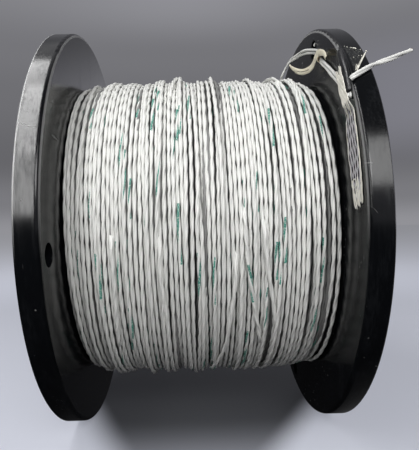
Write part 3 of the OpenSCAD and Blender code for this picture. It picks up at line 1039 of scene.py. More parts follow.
@dataclass(frozen=True)
class Studio:
    """The camera, the lights, and the room and floor around them.

    Attributes:
        picture: The picture's width and height, in pixels.
        focal_px: The focal length, in pixels.
        centre_px: Where the camera's middle ray meets the picture.
    """

    floor_z: float
    camera_place: Place = (-0.00716, -0.39417, -0.00126)
    yaw: float = -0.61
    pitch: float = -1.22
    roll: float = -1.41
    picture: tuple = (419, 450)
    focal_px: float = 459.6
    centre_px: tuple = (196.5, 237.6)
    sensor: float = 36.0
    clip: tuple = (0.01, 100.0)
    panels: tuple = (
        Panel("arc_top", (-0.47, -0.055, 1.219), (-0.47, 0.0, 0.0), (0.16, 0.46), 8.2),
        Panel("arc_high", (-0.475, -0.647, 1.035), (-0.475, 0.0, 0.0), (0.16, 0.85), 17.0),
        Panel("arc_front", (-0.49, -1.115, 0.496), (-0.49, 0.0, 0.0), (0.17, 0.74), 12.0),
        Panel("front_high", (0.27, -1.26, 0.62), (0.0, 0.0, 0.0), (0.4, 0.4), 14.0),
        Panel("side", (-1.0, -0.70, 0.80), (0.0, -0.05, 0.0), (0.6, 0.6), 1.8),
        Panel("overhead", (-0.20, 0.10, 1.30), (0.0, 0.0, 0.0), (0.9, 1.0), 0.3),
        Panel("rim_right", (0.55, -1.05, 0.61), (0.05, 0.0, 0.0), (0.25, 0.52), 6.5),
    )

    def set_camera(self) -> None:
        """Adds the camera at its place, turned and framed."""
        turns = ((self.yaw, "Z"), (90 + self.pitch, "X"), (self.roll, "Z"))
        yaw, pitch, roll = (Matrix.Rotation(math.radians(angle), 4, axis) for angle, axis in turns)
        deselect_all()
        bpy.ops.object.camera_add(location=self.camera_place)
        camera = bpy.context.object
        camera.matrix_world = Matrix.Translation(self.camera_place) @ yaw @ pitch @ roll
        width, height = self.picture
        long_side = max(self.picture)
        camera.data.sensor_width = self.sensor
        camera.data.lens = self.focal_px * self.sensor / long_side
        camera.data.shift_x = (width / 2 - self.centre_px[0]) / long_side
        camera.data.shift_y = (self.centre_px[1] - height / 2) / long_side
        camera.data.clip_start, camera.data.clip_end = self.clip
        bpy.context.scene.camera = camera

    def build(self) -> None:
        """Sets up the whole studio."""
        self.set_camera()
        for panel in self.panels:
            panel.hang()
        Room().build()
        Floor().build(self.floor_z)
        bpy.context.scene.view_settings.view_transform = "Standard"


# ---- Wire end and tail ----


@dataclass(frozen=True)
class SectionKey:
    """How the two strands lie at one point of a loose wire's route.

    Attributes:
        apart: The direction from one strand to the other.
        turns: How many turns the pair has made by then.
        spread: How far each strand's centre is from the middle.
        strand_r: The radius of one strand.
    """

    apart: tuple
    turns: float
    spread: float
    strand_r: float


@dataclass
class LoosePair:
    """A free length of the twisted pair, by its route and how it lies at each of its points."""

    name: str
    route: list
    keys: list
    steps: int = 12
    diameter: float = 0.0028
    ring_sides: int = 12

    def line(self) -> np.ndarray:
        """Returns the pair's centre line, finely stepped."""
        return np.array(smooth_line(self.route, self.steps))

    def stepped(self, values: Sequence) -> np.ndarray:
        """Returns values given at the route's points for every step of the line."""
        table = np.array(values, float)
        places = np.linspace(0, len(values) - 1, (len(values) - 1) * self.steps + 1)
        return np.stack([np.interp(places, np.arange(len(values)), column) for column in table.T], axis=1)

    def build(self) -> bpy.types.Object:
        """Makes the two strands as one mesh."""
        line = self.line()
        ways = headings(line)
        apart = square_to(ways, self.stepped([key.apart for key in self.keys]))
        lie = self.stepped([(key.turns, key.spread, key.strand_r) for key in self.keys])
        phases, radii = 2 * np.pi * lie[:, 0], lie[:, 2:]
        guide = Strand(line, apart, np.cross(ways, apart), 1.0, run_along(line))
        pair = twisted_pair(guide, phases, lie[:, 1])
        for strand in pair:
            strand.ups, strand.sides = strand.ups * radii, strand.sides * radii
        return strands_mesh(self.name, pair, self.ring_sides)

    def declare(self) -> None:
        """Works out the pair's centre line and its first point, and keeps neither.
        """
        line = self.line()
        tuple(self.route[0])


@dataclass
class WireEnd:
    """The wire's loose end: off the last turn, up in a loop, down the right flange's face.

    Attributes:
        loop: How far in from the flange, how high over the winding and at which angle it lies.
        lead: How deep inside the rim and at which angle it lies on the flange's face.
        tube_turns, tube_steps, tube_gap: The construction tube that the outer turns share.
    """

    spool: SpoolFrame
    pair_r: float = 0.0014
    loop: tuple = (
        (0.004, -0.0015, -24), (0.008, 0.0008, -12), (0.016, 0.0028, 3.8), (0.0135, 0.0103, 6.3),
        (0.011, 0.015, 8.6), (0.008, 0.0169, 12.9), (0.005, 0.0189, 18.3),
    )
    lead: tuple = (
        (0.015, 24), (0.0146, 29.5), (0.0177, 33.8), (0.0169, 39.9), (0.015, 46), (0.0115, 51.9),
        (0.0094, 55.5), (0.0083, 58.2), (0.0067, 60.2), (0.0035, 61), (0.0035, 59),
    )
    tube_turns: int = 24
    tube_steps: int = 24
    tube_gap: float = 0.0006

    @property
    def tube_pitch(self) -> float:
        """How far apart two turns of the construction tube are."""
        room = 2 * (self.spool.inner_x - self.spool.lay_gap) + self.tube_gap
        return room / (self.tube_turns + 1)

    @property
    def tube_d(self) -> float:
        """How thick the construction tube is."""
        return self.tube_pitch - self.tube_gap

    def tube_point(self, step: int) -> Vector:
        """Returns a point of the construction tube."""
        first_x = -self.spool.inner_x + self.spool.lay_gap + self.tube_d / 2
        x = first_x + self.tube_pitch * step / self.tube_steps
        angle = self.spool.last_angle + TURN * (step / self.tube_steps - self.tube_turns)
        return around(x, float(self.spool.crown(x)) - self.tube_d / 2, angle)

    def winding_end(self) -> Vector:
        """Returns the end of the construction tube, where the loose wire starts."""
        last = self.tube_turns * self.tube_steps
        end, before = self.tube_point(last), self.tube_point(last - 1)
        return end + (end - before).normalized() * self.tube_d

    def on_face(self, depth: float, angle: float) -> Vector:
        """Returns a point of the wire where it lies on the flange's face, so deep inside the rim."""
        x = self.spool.inner_x - self.spool.lay_gap - self.pair_r
        return around(x, self.spool.flange_r - depth, angle)

    def route(self) -> list[Vector]:
        """Returns the points of the wire's route."""
        loop = [self.spool.over(*place) for place in self.loop]
        return [self.winding_end(), *loop, *(self.on_face(*place) for place in self.lead)]

    @staticmethod
    def keys() -> list[SectionKey]:
        """Returns how the strands lie at each point of the route."""
        flat, behind, upright = (1, 0, 0), (0.25, 1, 0), (-0.35, 0.1, 1)
        across_lead, under_strip = (0, -0.62, 0.78), (0, -0.9, 0.1)
        lies = (
            (flat, -1.0, 0.00072, 0.00070),
            (flat, -0.5, 0.00072, 0.00070),
            (flat, 0.0, 0.00072, 0.00070),
            (behind, 0.0, 0.00078, 0.00074),
            (behind, 0.0, 0.00082, 0.00076),
            ((0.0, 0.75, 0.65), 0.0, 0.00085, 0.00080),
            (upright, 0.0, 0.00095, 0.00090),
            (upright, 0.0, 0.00115, 0.00098),
            (upright, 0.0, 0.00110, 0.00098),
            ((0, -0.2, 1), 0.0, 0.00100, 0.00095),
            (across_lead, 0.0, 0.00100, 0.00098),
            (across_lead, 0.03, 0.00112, 0.00105),
            (across_lead, -0.02, 0.00118, 0.00108),
            (across_lead, 0.02, 0.00112, 0.00105),
            (across_lead, 0.0, 0.00100, 0.00095),
            (across_lead, 0.1, 0.00090, 0.00085),
            (under_strip, 0.15, 0.00070, 0.00068),
            (under_strip, 0.2, 0.00060, 0.00060),
            (under_strip, 0.2, 0.00060, 0.00060),
        )
        return [SectionKey(*lie) for lie in lies]

    def build(self) -> None:
        """Makes the loose end."""
        pair = LoosePair("wire_end_pair", self.route(), self.keys())
        piece = pair.build()
        settle(piece, WIRE, "wire_insulation", "wire_end")
        pair.declare()


@dataclass
class FreeTail:
    """The cut end, out from under the black strip and over the rim.

    Attributes:
        angle: Where it leaves the strip.
        start_lift: How far it is lifted off the rim there.
        over_rim: How far over the rim's width, how far off the rim and at which angle it lies.
        turns: How many turns the strands have made at each point of its route.
    """

    spool: SpoolFrame
    pair_r: float = 0.0014
    angle: float = 57.5
    start_lift: float = 0.0004
    over_rim: tuple = (
        (0.007, 0.0020, 55.7), (0.013, 0.0020, 54.1), (0.019, 0.0016, 52.7),
        (0.027, 0.0015, 51.2), (0.034, 0.0017, 49.7), (0.0415, 0.0019, 48.1),
    )
    turns: tuple = (0.0, 0.02, 0.06, 0.16, 0.42, 0.56, 0.72, 0.86)
    apart: Place = (0, 0.2, 1)
    spread: float = 0.00062
    strand_r: float = 0.00102

    def route(self) -> list[Vector]:
        """Returns the points of the tail's route."""
        spool = self.spool
        corner_x, corner_r = spool.inner_x + spool.edge_round, spool.flange_r - spool.edge_round
        reach = (spool.edge_round + spool.lay_gap + self.pair_r) * math.sin(math.radians(45))
        start_r = spool.flange_r + spool.lay_gap + self.pair_r + self.start_lift
        return [
            around(corner_x - reach, corner_r + reach, self.angle),
            around(corner_x - 0.001, start_r, self.angle - 0.3),
            *(around(spool.inner_x + x, spool.flange_r + off, angle) for x, off, angle in self.over_rim),
        ]

    def build(self) -> None:
        """Makes the tail and dresses the bare conductors at its end."""
        keys = [SectionKey(self.apart, turn, self.spread, self.strand_r) for turn in self.turns]
        pair = LoosePair("free_tail_pair", self.route(), keys)
        piece = pair.build()
        settle(piece, WIRE, "wire_insulation", "free_tail")
        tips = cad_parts["tail_conductors"]
        coat(tips, BareCopper())
        pair.declare()


# ---- Winding ----


FLATNESS = 0.12
CROSSING_LIFT = 0.5
STRAND_R = 0.00093
STRAND_SPREAD = 0.00043
LOWER_FRONT = 130.0
PRINT_START_R = 0.118


@dataclass(frozen=True)
class Ripple:
    """One wave of unevenness over the winding."""

    height: float
    length_x: float
    waves_round: int
    phase: float

    def at(self, x: np.ndarray, angle: np.ndarray) -> np.ndarray:
        """Returns the wave's height at places along the axis and angles."""
        turned = np.radians(angle) * self.waves_round
        return self.height * np.cos(2 * np.pi * x / self.length_x + turned + self.phase)


@dataclass(frozen=True)
class Lump:
    """A place where turns are piled up, or lie low when its height is below zero."""

    x: float
    angle: float
    height: float
    half_width: float
    half_arc: float = 45.0

    def at(self, x: np.ndarray, angle: np.ndarray) -> np.ndarray:
        """Returns how much the lump lifts the winding at places along the axis and angles."""
        off = off_angle(angle, self.angle)
        return self.height * np.exp(-(((x - self.x) / self.half_width) ** 2) - (off / self.half_arc) ** 2)


LUMPS = (
    Lump(-0.085, 20, -0.0030, 0.007, 400),
    Lump(0.086, 20, -0.0014, 0.006, 400),
    Lump(-0.013, 15, 0.0022, 0.0028, 30),
    Lump(0.070, 15, 0.0024, 0.004, 35),
)


@dataclass
class WireLayer:
    """One layer of turns of the twisted pair, laid side by side and settled against one another.

    Attributes:
        name: What its pieces are called.
        node: The construction solid that it stands for.
        finish: What it is made of.
        depth: How deep the pair's centre line rests under the winding's crown.
        leftwards: Whether the turns run from right to left.
        climbing: How bulky a turn is beside its neighbours, as a share of the pair's size.
        crowding: How much bulkier it is at the lower front, where turns ride up.
        looseness: How far a turn may wander sideways on its own.
        lay: How long one twist of the pair is. lay_drift is how far it strays, in radians.
        wide_from: From which share of the turns on they are wider apart.
        side_waves: Heights and lengths of the waves sideways. pile_waves are those outwards.
        calm: How much of the side waves there is everywhere, and more at the lower front.
        end_room: Over which length the turns calm down beside the flanges.
        dive: How deep the layer's ends dive under it.
        aside: How far overlapping turns push one another aside, and lift how far up.
        sink: How far a turn sinks back each round.
    """

    spool: SpoolFrame
    name: str
    node: str
    finish: Finish
    depth: float
    leftwards: bool = False
    climbing: float = 0.98
    crowding: float = 0.20
    looseness: float = 0.0013
    seed: int = 20
    turns: int = 60
    pieces: int = 4
    steps_per_turn: int = 240
    ring_sides: int = 8
    pair_r: float = 0.0014
    lay: float = 0.029
    lay_drift: float = 5.0
    wide_from: float = 0.84
    wide_over: float = 0.07
    wider: float = 0.5
    crowded_arc: float = 42.0
    side_waves: tuple = ((0.0006, 0.0085), (0.0007, 0.012), (0.0008, 0.019))
    pile_waves: tuple = ((0.0004, 0.0075), (0.0005, 0.0105), (0.0007, 0.016), (0.0008, 0.031))
    calm: tuple = (0.8, 0.2)
    calm_arc: float = 60.0
    unevenness: float = 0.0007
    end_room: float = 0.004
    dive: float = 0.0035
    dive_arc: float = 14.0
    rounds: int = 80
    aside: float = 0.25
    lift: float = 0.9
    least_lean: float = 0.2
    sink: float = 0.00002
    lowest: float = -0.0008

    def __post_init__(self) -> None:
        """Draws the random parts of the layer, the same each time."""
        self.dice = np.random.default_rng(self.seed)

    def ripples(self, sizes: Sequence[tuple[float, float]]) -> list[Ripple]:
        """Returns waves of given heights and lengths, at random phases."""
        dice = self.dice
        return [
            Ripple(h, length * dice.uniform(0.85, 1.15), int(dice.integers(-3, 4)), dice.uniform(0, math.tau))
            for h, length in sizes
        ]

    def wander(self, turn: np.ndarray, knots_per_turn: float) -> np.ndarray:
        """Returns a smooth random value between -1 and 1 along the turns."""
        knots = self.dice.uniform(-1, 1, int(self.turns * knots_per_turn) + 4)
        places = turn * knots_per_turn
        first = places.astype(int)
        share = eased(places - first)
        return knots[first] * (1 - share) + knots[first + 1] * share

    def spacing(self, turn: np.ndarray, edge: float) -> np.ndarray:
        """Returns x of evenly laid turns, wider apart near the right flange."""
        wide = np.clip((turn / self.turns - self.wide_from) / self.wide_over, 0, 1)
        pitch = 1 + self.wider * eased(wide)
        place = np.concatenate([[0], np.cumsum((pitch[1:] + pitch[:-1]) / 2)])
        return -edge + 2 * edge * place / place[-1]

    def bulk(self, angle: np.ndarray) -> np.ndarray:
        """Returns how much room a turn asks for, more at the lower front where turns ride up."""
        lower = np.exp(-((off_angle(angle, LOWER_FRONT) / self.crowded_arc) ** 2))
        return 2 * self.pair_r * (self.climbing + self.crowding * lower)

    def settled(
        self, x: np.ndarray, height: np.ndarray, room: np.ndarray, edge: float
    ) -> tuple[np.ndarray, np.ndarray]:
        """Lets overlapping turns push one another a little aside and mostly upwards.

        Args:
            x: Where each step of the line starts along the axis.
            height: How far above the resting line it starts.
            room: How much room a turn asks for there.
            edge: The furthest that a turn may be from the middle.

        Returns:
            The settled places along the axis and heights.
        """
        kernel = np.array([1, 2, 3, 2, 1]) / 9
        per_turn = self.steps_per_turn
        for _ in range(self.rounds):
            for apart in (per_turn, 2 * per_turn):
                across, up = x[apart:] - x[:-apart], height[apart:] - height[:-apart]
                distance = np.hypot(across, up) + 1e-9
                push = np.clip(room[apart:] - distance, 0, None) / 2
                aside = self.aside * push * across / distance
                lean = up / distance
                steep = np.where(np.abs(lean) < self.least_lean, np.copysign(self.least_lean, lean), lean)
                lift = self.lift * push * steep
                x[apart:] += aside
                x[:-apart] -= aside
                height[apart:] += lift
                height[:-apart] -= lift
            height = np.maximum(height - self.sink, self.lowest)
            x = np.convolve(np.pad(x, 2, mode="edge"), kernel, mode="valid")
            height = np.convolve(np.pad(height, 2, mode="edge"), kernel, mode="valid")
            x = np.clip(x, -edge, edge)
        return x, height

    def centre_line(self) -> tuple[np.ndarray, np.ndarray, np.ndarray, np.ndarray]:
        """Returns turn, x, radius and angle of the whole layer's centre line."""
        turn = np.arange(self.turns * self.steps_per_turn + 1) / self.steps_per_turn
        edge = self.spool.inner_x - self.spool.lay_gap - self.pair_r
        angle = self.spool.last_angle + TURN * (turn - self.turns)
        even = self.spacing(turn, edge)
        x = even.copy()
        calm = self.calm[0] + self.calm[1] * np.exp(-((off_angle(angle, LOWER_FRONT) / self.calm_arc) ** 2))
        for wave in self.ripples(self.side_waves):
            x = x + calm * wave.at(even, angle)
        x = x + self.looseness * self.wander(turn, 5)
        height = self.unevenness * self.wander(turn, 4)
        x = even + (x - even) * np.clip((edge - np.abs(even)) / self.end_room, 0, 1)
        x, height = self.settled(x, height, self.bulk(angle), edge)
        radius = self.spool.crown(x) - self.depth
        for shape in (*self.ripples(self.pile_waves), *LUMPS):
            radius = radius + shape.at(x, angle)
        to_end = np.minimum(turn, self.turns - turn) * TURN
        radius = radius + height - self.dive * np.clip(1 - to_end / self.dive_arc, 0, 1) ** 2
        return turn, -x if self.leftwards else x, radius, angle

    def build(self) -> None:
        """Makes the layer in several pieces of equal length."""
        turn, x, radius, angle = self.centre_line()
        twist = 2 * np.pi * 2 * np.pi * self.spool.winding_r / self.lay
        phases = twist * turn + self.lay_drift * self.wander(turn, 4.3)
        per_piece = self.turns // self.pieces * self.steps_per_turn
        for number in range(self.pieces):
            part = slice(number * per_piece, (number + 1) * per_piece + 1)
            pair = pair_round_axis(x[part], radius[part], angle[part], phases[part])
            piece = strands_mesh(f"{self.name}_{number + 1}", pair, self.ring_sides)
            settle(piece, self.finish, "wire_insulation", self.node)


def pair_round_axis(x: np.ndarray, radius: np.ndarray, angle: np.ndarray, phases: np.ndarray) -> list[Strand]:
    """Lays a twisted pair along a line round the spool's axis.

    The pair lies flat for most of its length, and its strands cross over each other quickly.

    Args:
        x: Places along the axis.
        radius: Distances from the axis.
        angle: Angles from the top.
        phases: How far the pair is twisted, in radians.

    Returns:
        The two strands.
    """
    turned = np.radians(angle)
    phases = phases + FLATNESS * np.sin(2 * phases)
    radius = radius + CROSSING_LIFT * STRAND_SPREAD * np.cos(phases) ** 2
    outward = np.stack([np.zeros_like(x), -np.sin(turned), np.cos(turned)], axis=1)
    centres = np.stack([x, radius * outward[:, 1], radius * outward[:, 2]], axis=1)
    across = np.cross(headings(centres), outward)
    across = across / np.linalg.norm(across, axis=1, keepdims=True)
    along = run_along(centres) + abs(turned[0]) * PRINT_START_R
    guide = Strand(centres, outward, across, STRAND_R, along)
    return twisted_pair(guide, phases, np.full(len(x), STRAND_SPREAD))


@dataclass
class CrossingTurns:
    """The stretches of wire that cross over their neighbours and dive under them at both ends.

    Attributes:
        lay: How long one twist of the pair is.
        dive: How deep their ends dive, over dive_share of their length.
        lift: How far they lie above the turns that they cross. low_lift is for the last one.
        turns: x and angle of points along each of them.
    """

    spool: SpoolFrame
    depth: float
    lay: float = 0.027
    dive: float = 0.0046
    dive_share: float = 0.16
    lift: float = 0.0024
    low_lift: float = 0.0008
    steps: int = 16
    ring_sides: int = 8
    turns: tuple = (
        (
            (0.0050, 158), (0.0062, 150), (0.0110, 140), (0.0145, 130), (0.0166, 119), (0.0190, 108),
            (0.0197, 98),
        ),
        (
            (0.0372, 134), (0.0354, 126), (0.0320, 118), (0.0293, 110), (0.0268, 101), (0.0255, 92),
            (0.0250, 84),
        ),
        ((0.0364, 88), (0.0375, 97), (0.0394, 104), (0.0417, 111), (0.0440, 118), (0.0462, 127)),
        ((-0.0262, 92), (-0.0268, 104), (-0.0253, 112), (-0.0239, 120), (-0.0238, 131), (-0.0236, 144)),
        ((-0.0560, 92), (-0.0552, 104), (-0.0556, 114), (-0.0563, 124), (-0.0573, 134)),
        ((-0.0400, 200), (-0.0375, 225), (-0.0345, 250), (-0.0310, 275), (-0.0300, 300)),
        ((0.0300, 215), (0.0285, 240), (0.0240, 262), (0.0200, 285), (0.0190, 305)),
        ((0.0600, 30), (0.0575, 12), (0.0540, -8), (0.0520, -30), (0.0515, -48)),
        ((-0.0200, 40), (-0.0165, 20), (-0.0130, 0), (-0.0110, -25), (-0.0100, -50)),
        (
            (0.0702, 10), (0.0690, 28), (0.0664, 54), (0.0651, 74), (0.0640, 92), (0.0639, 112),
            (0.0643, 136), (0.0650, 160),
        ),
    )

    def build(self) -> None:
        """Makes all crossing stretches as one piece."""
        strands: list[Strand] = []
        for number, places in enumerate(self.turns):
            line = np.array(smooth_line([Vector((*place, 0)) for place in places], self.steps))
            x, angle = line[:, 0], line[:, 1]
            share = np.linspace(0, 1, len(x))
            to_end = np.clip(np.minimum(share, 1 - share) / self.dive_share, 0, 1)
            lift = self.low_lift if places is self.turns[-1] else self.lift
            radius = self.spool.crown(x) - self.depth + lift - self.dive * (1 - to_end) ** 2
            for lump in LUMPS:
                radius = radius + lump.at(x, angle)
            phases = number + 2 * np.pi * self.spool.winding_r * np.radians(angle) / self.lay
            strands += pair_round_axis(x, radius, angle, phases)
        piece = strands_mesh("crossing_turns", strands, self.ring_sides)
        settle(piece, WIRE, "wire_insulation", "winding_outer")


@dataclass
class Winding:
    """All that is wound on the drum: the outer turns, the layer under them and the body inside."""

    spool: SpoolFrame
    outer_depth: float = 0.0016
    under_depth: float = 0.0045
    body_depth: float = 0.0060
    ridge: float = 0.0012
    ridges: int = 64
    bore: float = 0.0638
    body_steps: int = 144
    low_angle: float = 20.0

    def build_body(self) -> None:
        """Turns the ridged body of the layers inside."""
        face_x = self.spool.inner_x - self.spool.lay_gap
        outline = [(-face_x, self.bore)]
        steps = self.ridges * 4
        for k in range(steps + 1):
            x = -face_x + 2 * face_x * k / steps
            wave = (1 - math.cos(math.pi * k / 2)) / 2
            low_end = sum(lump.at(x, self.low_angle) for lump in LUMPS[:2])
            outline.append((x, float(self.spool.crown(x) + low_end) - self.body_depth + self.ridge * wave))
        outline.append((face_x, self.bore))
        piece = turned_piece("inner_layers", outline, self.body_steps)
        shade_smooth(piece, 60)
        settle(piece, SHADED_WIRE, "wire_insulation", "winding_core")

    def build(self) -> None:
        """Makes the whole winding."""
        self.build_body()
        WireLayer(
            self.spool, "under_turns", "winding_core", SHADED_UNDER_WIRE, self.under_depth, leftwards=True,
            climbing=0.8, crowding=0.0, looseness=0.0006, seed=7, ring_sides=6,
        ).build()
        WireLayer(self.spool, "outer_turns", "winding_outer", WIRE, self.outer_depth).build()
        CrossingTurns(self.spool, self.outer_depth).build()


def turned_piece(name: str, outline: Sequence[tuple[float, float]], steps: int) -> bpy.types.Object:
    """Spins a closed outline round the spool's axis.

    Args:
        name: The piece's name.
        outline: Places along the axis and distances from it.
        steps: How many steps there are in the turn.

    Returns:
        The closed piece, faces outwards.
    """
    mesh = bpy.data.meshes.new(name)
    points = [(x, 0, r) for x, r in outline]
    edges = [(i, (i + 1) % len(points)) for i in range(len(points))]
    mesh.from_pydata(points, edges, [])
    piece = bpy.data.objects.new(name, mesh)
    bpy.context.scene.collection.objects.link(piece)
    take_up(piece)
    bpy.ops.object.mode_set(mode="EDIT")
    bpy.ops.mesh.select_all(action="SELECT")
    bpy.ops.mesh.spin(steps=steps, angle=2 * math.pi, center=(0, 0, 0), axis=(1, 0, 0))
    bpy.ops.object.mode_set(mode="OBJECT")
    point_outwards(piece)
    return piece


# ---- Band and string ----


def thicken(piece: bpy.types.Object, thickness: float) -> None:
    """Gives a laid sheet its wall, on both sides of it, and softens its edges."""
    wall = piece.modifiers.new("wall", "SOLIDIFY")
    wall.thickness = thickness
    wall.offset = 0.0
    soft = piece.modifiers.new("soft", "BEVEL")
    soft.width = thickness * 0.3
    soft.segments = 2
    apply_modifiers(piece)
    point_outwards(piece)
    shade_smooth(piece, 50)


@dataclass(frozen=True)
class CurlShell:
    """One shell of the band's curled end.

    Attributes:
        half_arc: How far round the wire it goes to either side.
        stretch: Its length, and how far back it starts, as shares of the curl's length.
        ruffle: How uneven its ends are.
        clearance: How far it stays off the flange.
    """

    name: str
    finish: Finish
    cells: tuple
    half_arc: float
    radius: float
    thickness: float
    stretch: tuple
    ruffle: float
    clearance: float


@dataclass
class LoopBand:
    """The cream band: from its curled right end, round the loop's foot and up to the crest.

    Attributes:
        places: How far in from the flange, how high over the winding and at which angle its route
            lies, from the crest to the foot.
        widths: Its width at each point of its route.
        shifts: How far its middle lies inwards of the route at each point.
        slit: The share of its length from which and to which it is split.
        curl_start: How deep inside the rim and at which angle the curl starts.
        curl_growth: How much wider it gets along the wire and round it.
        shells: The curl itself and the darker tan lining that shows inside it.
    """

    spool: SpoolFrame
    places: tuple = (
        (0.004, 0.0258, 41.6), (0.004, 0.0267, 39), (0.004, 0.0252, 35.9), (0.004, 0.0226, 32.7),
        (0.004, 0.0188, 30.8), (0.004, 0.0141, 29.5), (0.0045, 0.0102, 27.9), (0.0055, 0.0072, 25.5),
        (0.0075, 0.005, 21.5), (0.0098, 0.0057, 17.9), (0.0115, 0.0084, 13.7), (0.012, 0.0113, 10.7),
    )
    widths: tuple = (
        0.0030, 0.0036, 0.0042, 0.0050, 0.0056, 0.0056, 0.0050, 0.0046, 0.0042, 0.0038, 0.0026, 0.0010,
    )
    shifts: tuple = (0.0012, 0.0014, 0.0016, 0.0016, 0.0014, 0.0012, 0.0008, 0.0003, 0.0, 0.0, 0.0, 0.0)
    thickness: float = 0.0005
    cup: float = 0.0005
    cells: int = 9
    steps: int = 7
    slit: tuple = (0.60, 0.82)
    curl_start: tuple = (0.0155, 32.6)
    curl_end: tuple = (0.0172, 35.6)
    curl_length: float = 0.0046
    curl_growth: tuple = (0.12, 0.10)
    shells: tuple = (
        CurlShell("band_curl", CREAM_TAPE, (8, 22), 118, 0.0026, 0.0005, (1.0, 0.35), 0.0006, 0.0004),
        CurlShell("curl_lining", TAN_TAPE, (6, 18), 110, 0.0022, 0.0002, (0.9, 0.30), 0.0, 0.0006),
    )

    def build_strip(self) -> None:
        """Makes the band as a thin strip, split lengthwise along its foot."""
        route = [self.spool.over(*place) for place in self.places]
        line = np.array(smooth_line(route, self.steps))
        inward = np.cross(headings(line), np.array([1.0, 0.0, 0.0]))
        inward /= np.linalg.norm(inward, axis=1, keepdims=True)
        last = len(line) - 1
        known = np.linspace(0, 1, len(self.widths))

        def place(share: float, across: float) -> Vector:
            """Returns a point of the band."""
            at = share * last
            i = min(int(at), last - 1)
            centre = line[i] + (line[i + 1] - line[i]) * (at - i)
            width, shift = np.interp(share, known, self.widths), np.interp(share, known, self.shifts)
            off = width * (across - 0.5) + shift
            bulge = self.cup * (1 - (2 * across - 1) ** 2)
            return Vector(centre + inward[i] * off - np.array([bulge, 0, 0]))

        piece = laid_sheet("loop_band", (last, self.cells), place)
        self.split(piece)
        thicken(piece, self.thickness)
        settle(piece, CREAM_TAPE, "cream_tape", "wrap_band")

    def split(self, piece: bpy.types.Object) -> None:
        """Deletes the middle row of the strip's cells along its foot."""
        take_up(piece)
        bpy.ops.object.mode_set(mode="EDIT")
        bpy.ops.mesh.select_mode(type="FACE")
        bpy.ops.mesh.select_all(action="DESELECT")
        bpy.ops.object.mode_set(mode="OBJECT")
        uv = piece.data.uv_layers[0].data
        for face in piece.data.polygons:
            along, across = sum((uv[loop].uv for loop in face.loop_indices), Vector((0, 0))) / face.loop_total
            in_slit = self.slit[0] < along < self.slit[1]
            face.select = in_slit and int(across * self.cells) == self.cells // 2
        bpy.ops.object.mode_set(mode="EDIT")
        bpy.ops.mesh.delete(type="FACE")
        bpy.ops.mesh.select_mode(type="VERT")
        bpy.ops.object.mode_set(mode="OBJECT")

    def build_shell(self, shell: CurlShell) -> None:
        """Makes one shell of the curled end, a half tube round the wire."""
        wire = WireEnd(self.spool)
        start, end = wire.on_face(*self.curl_start), wire.on_face(*self.curl_end)
        way = (end - start).normalized()
        out = Vector((-1, 0, 0))
        beside = way.cross(out).normalized()

        def place(share: float, across: float) -> Vector:
            """Returns a point of the shell."""
            turned = math.radians(shell.half_arc * (2 * across - 1))
            radius = shell.radius * (1 + self.curl_growth[0] * share + self.curl_growth[1] * across)
            length = self.curl_length * (share * shell.stretch[0] - shell.stretch[1])
            ring = out * math.cos(turned) + beside * math.sin(turned)
            point = start + way * (length + shell.ruffle * math.sin(3 * turned)) + ring * radius
            point.x = min(point.x, self.spool.inner_x - shell.clearance)
            return point

        piece = laid_sheet(shell.name, shell.cells, place)
        thicken(piece, shell.thickness)
        settle(piece, shell.finish, "cream_tape", "wrap_band")

    def build(self) -> None:
        """Makes the whole band."""
        self.build_strip()
        for shell in self.shells:
            self.build_shell(shell)


@dataclass
class TieString:
    """The thin string out of the right flange's upper hole, down to the wire loop.

    Attributes:
        places: The points of its route, off the hole's middle.
        lay: How long one twist of its yarns is.
        yarn_spread: How far out its yarns lie. yarn_share is how thick they are beside it.
    """

    spool: SpoolFrame
    hole_inset: float = 0.0145
    hole_angle: float = 21.0
    places: tuple = (
        (0.008, -0.004, 0.0022), (0.001, -0.005, 0.0027), (-0.0008, -0.0065, 0.0022), (-0.0012, -0.008, 0.0),
    )
    radius: float = 0.0005
    yarns: int = 3
    lay: float = 0.003
    yarn_spread: float = 0.45
    yarn_share: float = 0.55

    def build(self) -> None:
        """Makes the string of fine yarns."""
        hole = around(self.spool.inner_x, self.spool.flange_r - self.hole_inset, self.hole_angle)
        line = np.array(smooth_line([hole + Vector(place) for place in self.places], 14))
        ways = headings(line)
        sides = carried_sides(ways, (0, 1, 0))
        ups = np.cross(sides, ways)
        along = run_along(line)
        yarns = []
        for k in range(self.yarns):
            phase = 2 * np.pi * (k / self.yarns + along / self.lay)
            out = np.cos(phase)[:, None] * ups + np.sin(phase)[:, None] * sides
            centres = line + out * self.radius * self.yarn_spread
            yarns.append(Strand(centres, ups, sides, self.radius * self.yarn_share, along))
        piece = strands_mesh("tie_string_yarns", yarns, 6)
        settle(piece, STRING_FIBRE, "string_fibre", "tie_string")


# ---- Tapes and strip ----


@dataclass(frozen=True)
class FibreLine:
    """One lengthwise line of the filament tape.

    Attributes:
        share: Where it runs, from the tape's left border at 0 to its right border at 1.
        start: Where along the tape it starts.
        end: Where along the tape it ends.
        half_width: Half its width.
        swing: How far it swings from side to side.
        phase: Where in its swing it starts, in turns.
    """

    share: float
    start: float
    end: float
    half_width: float
    swing: float
    phase: float


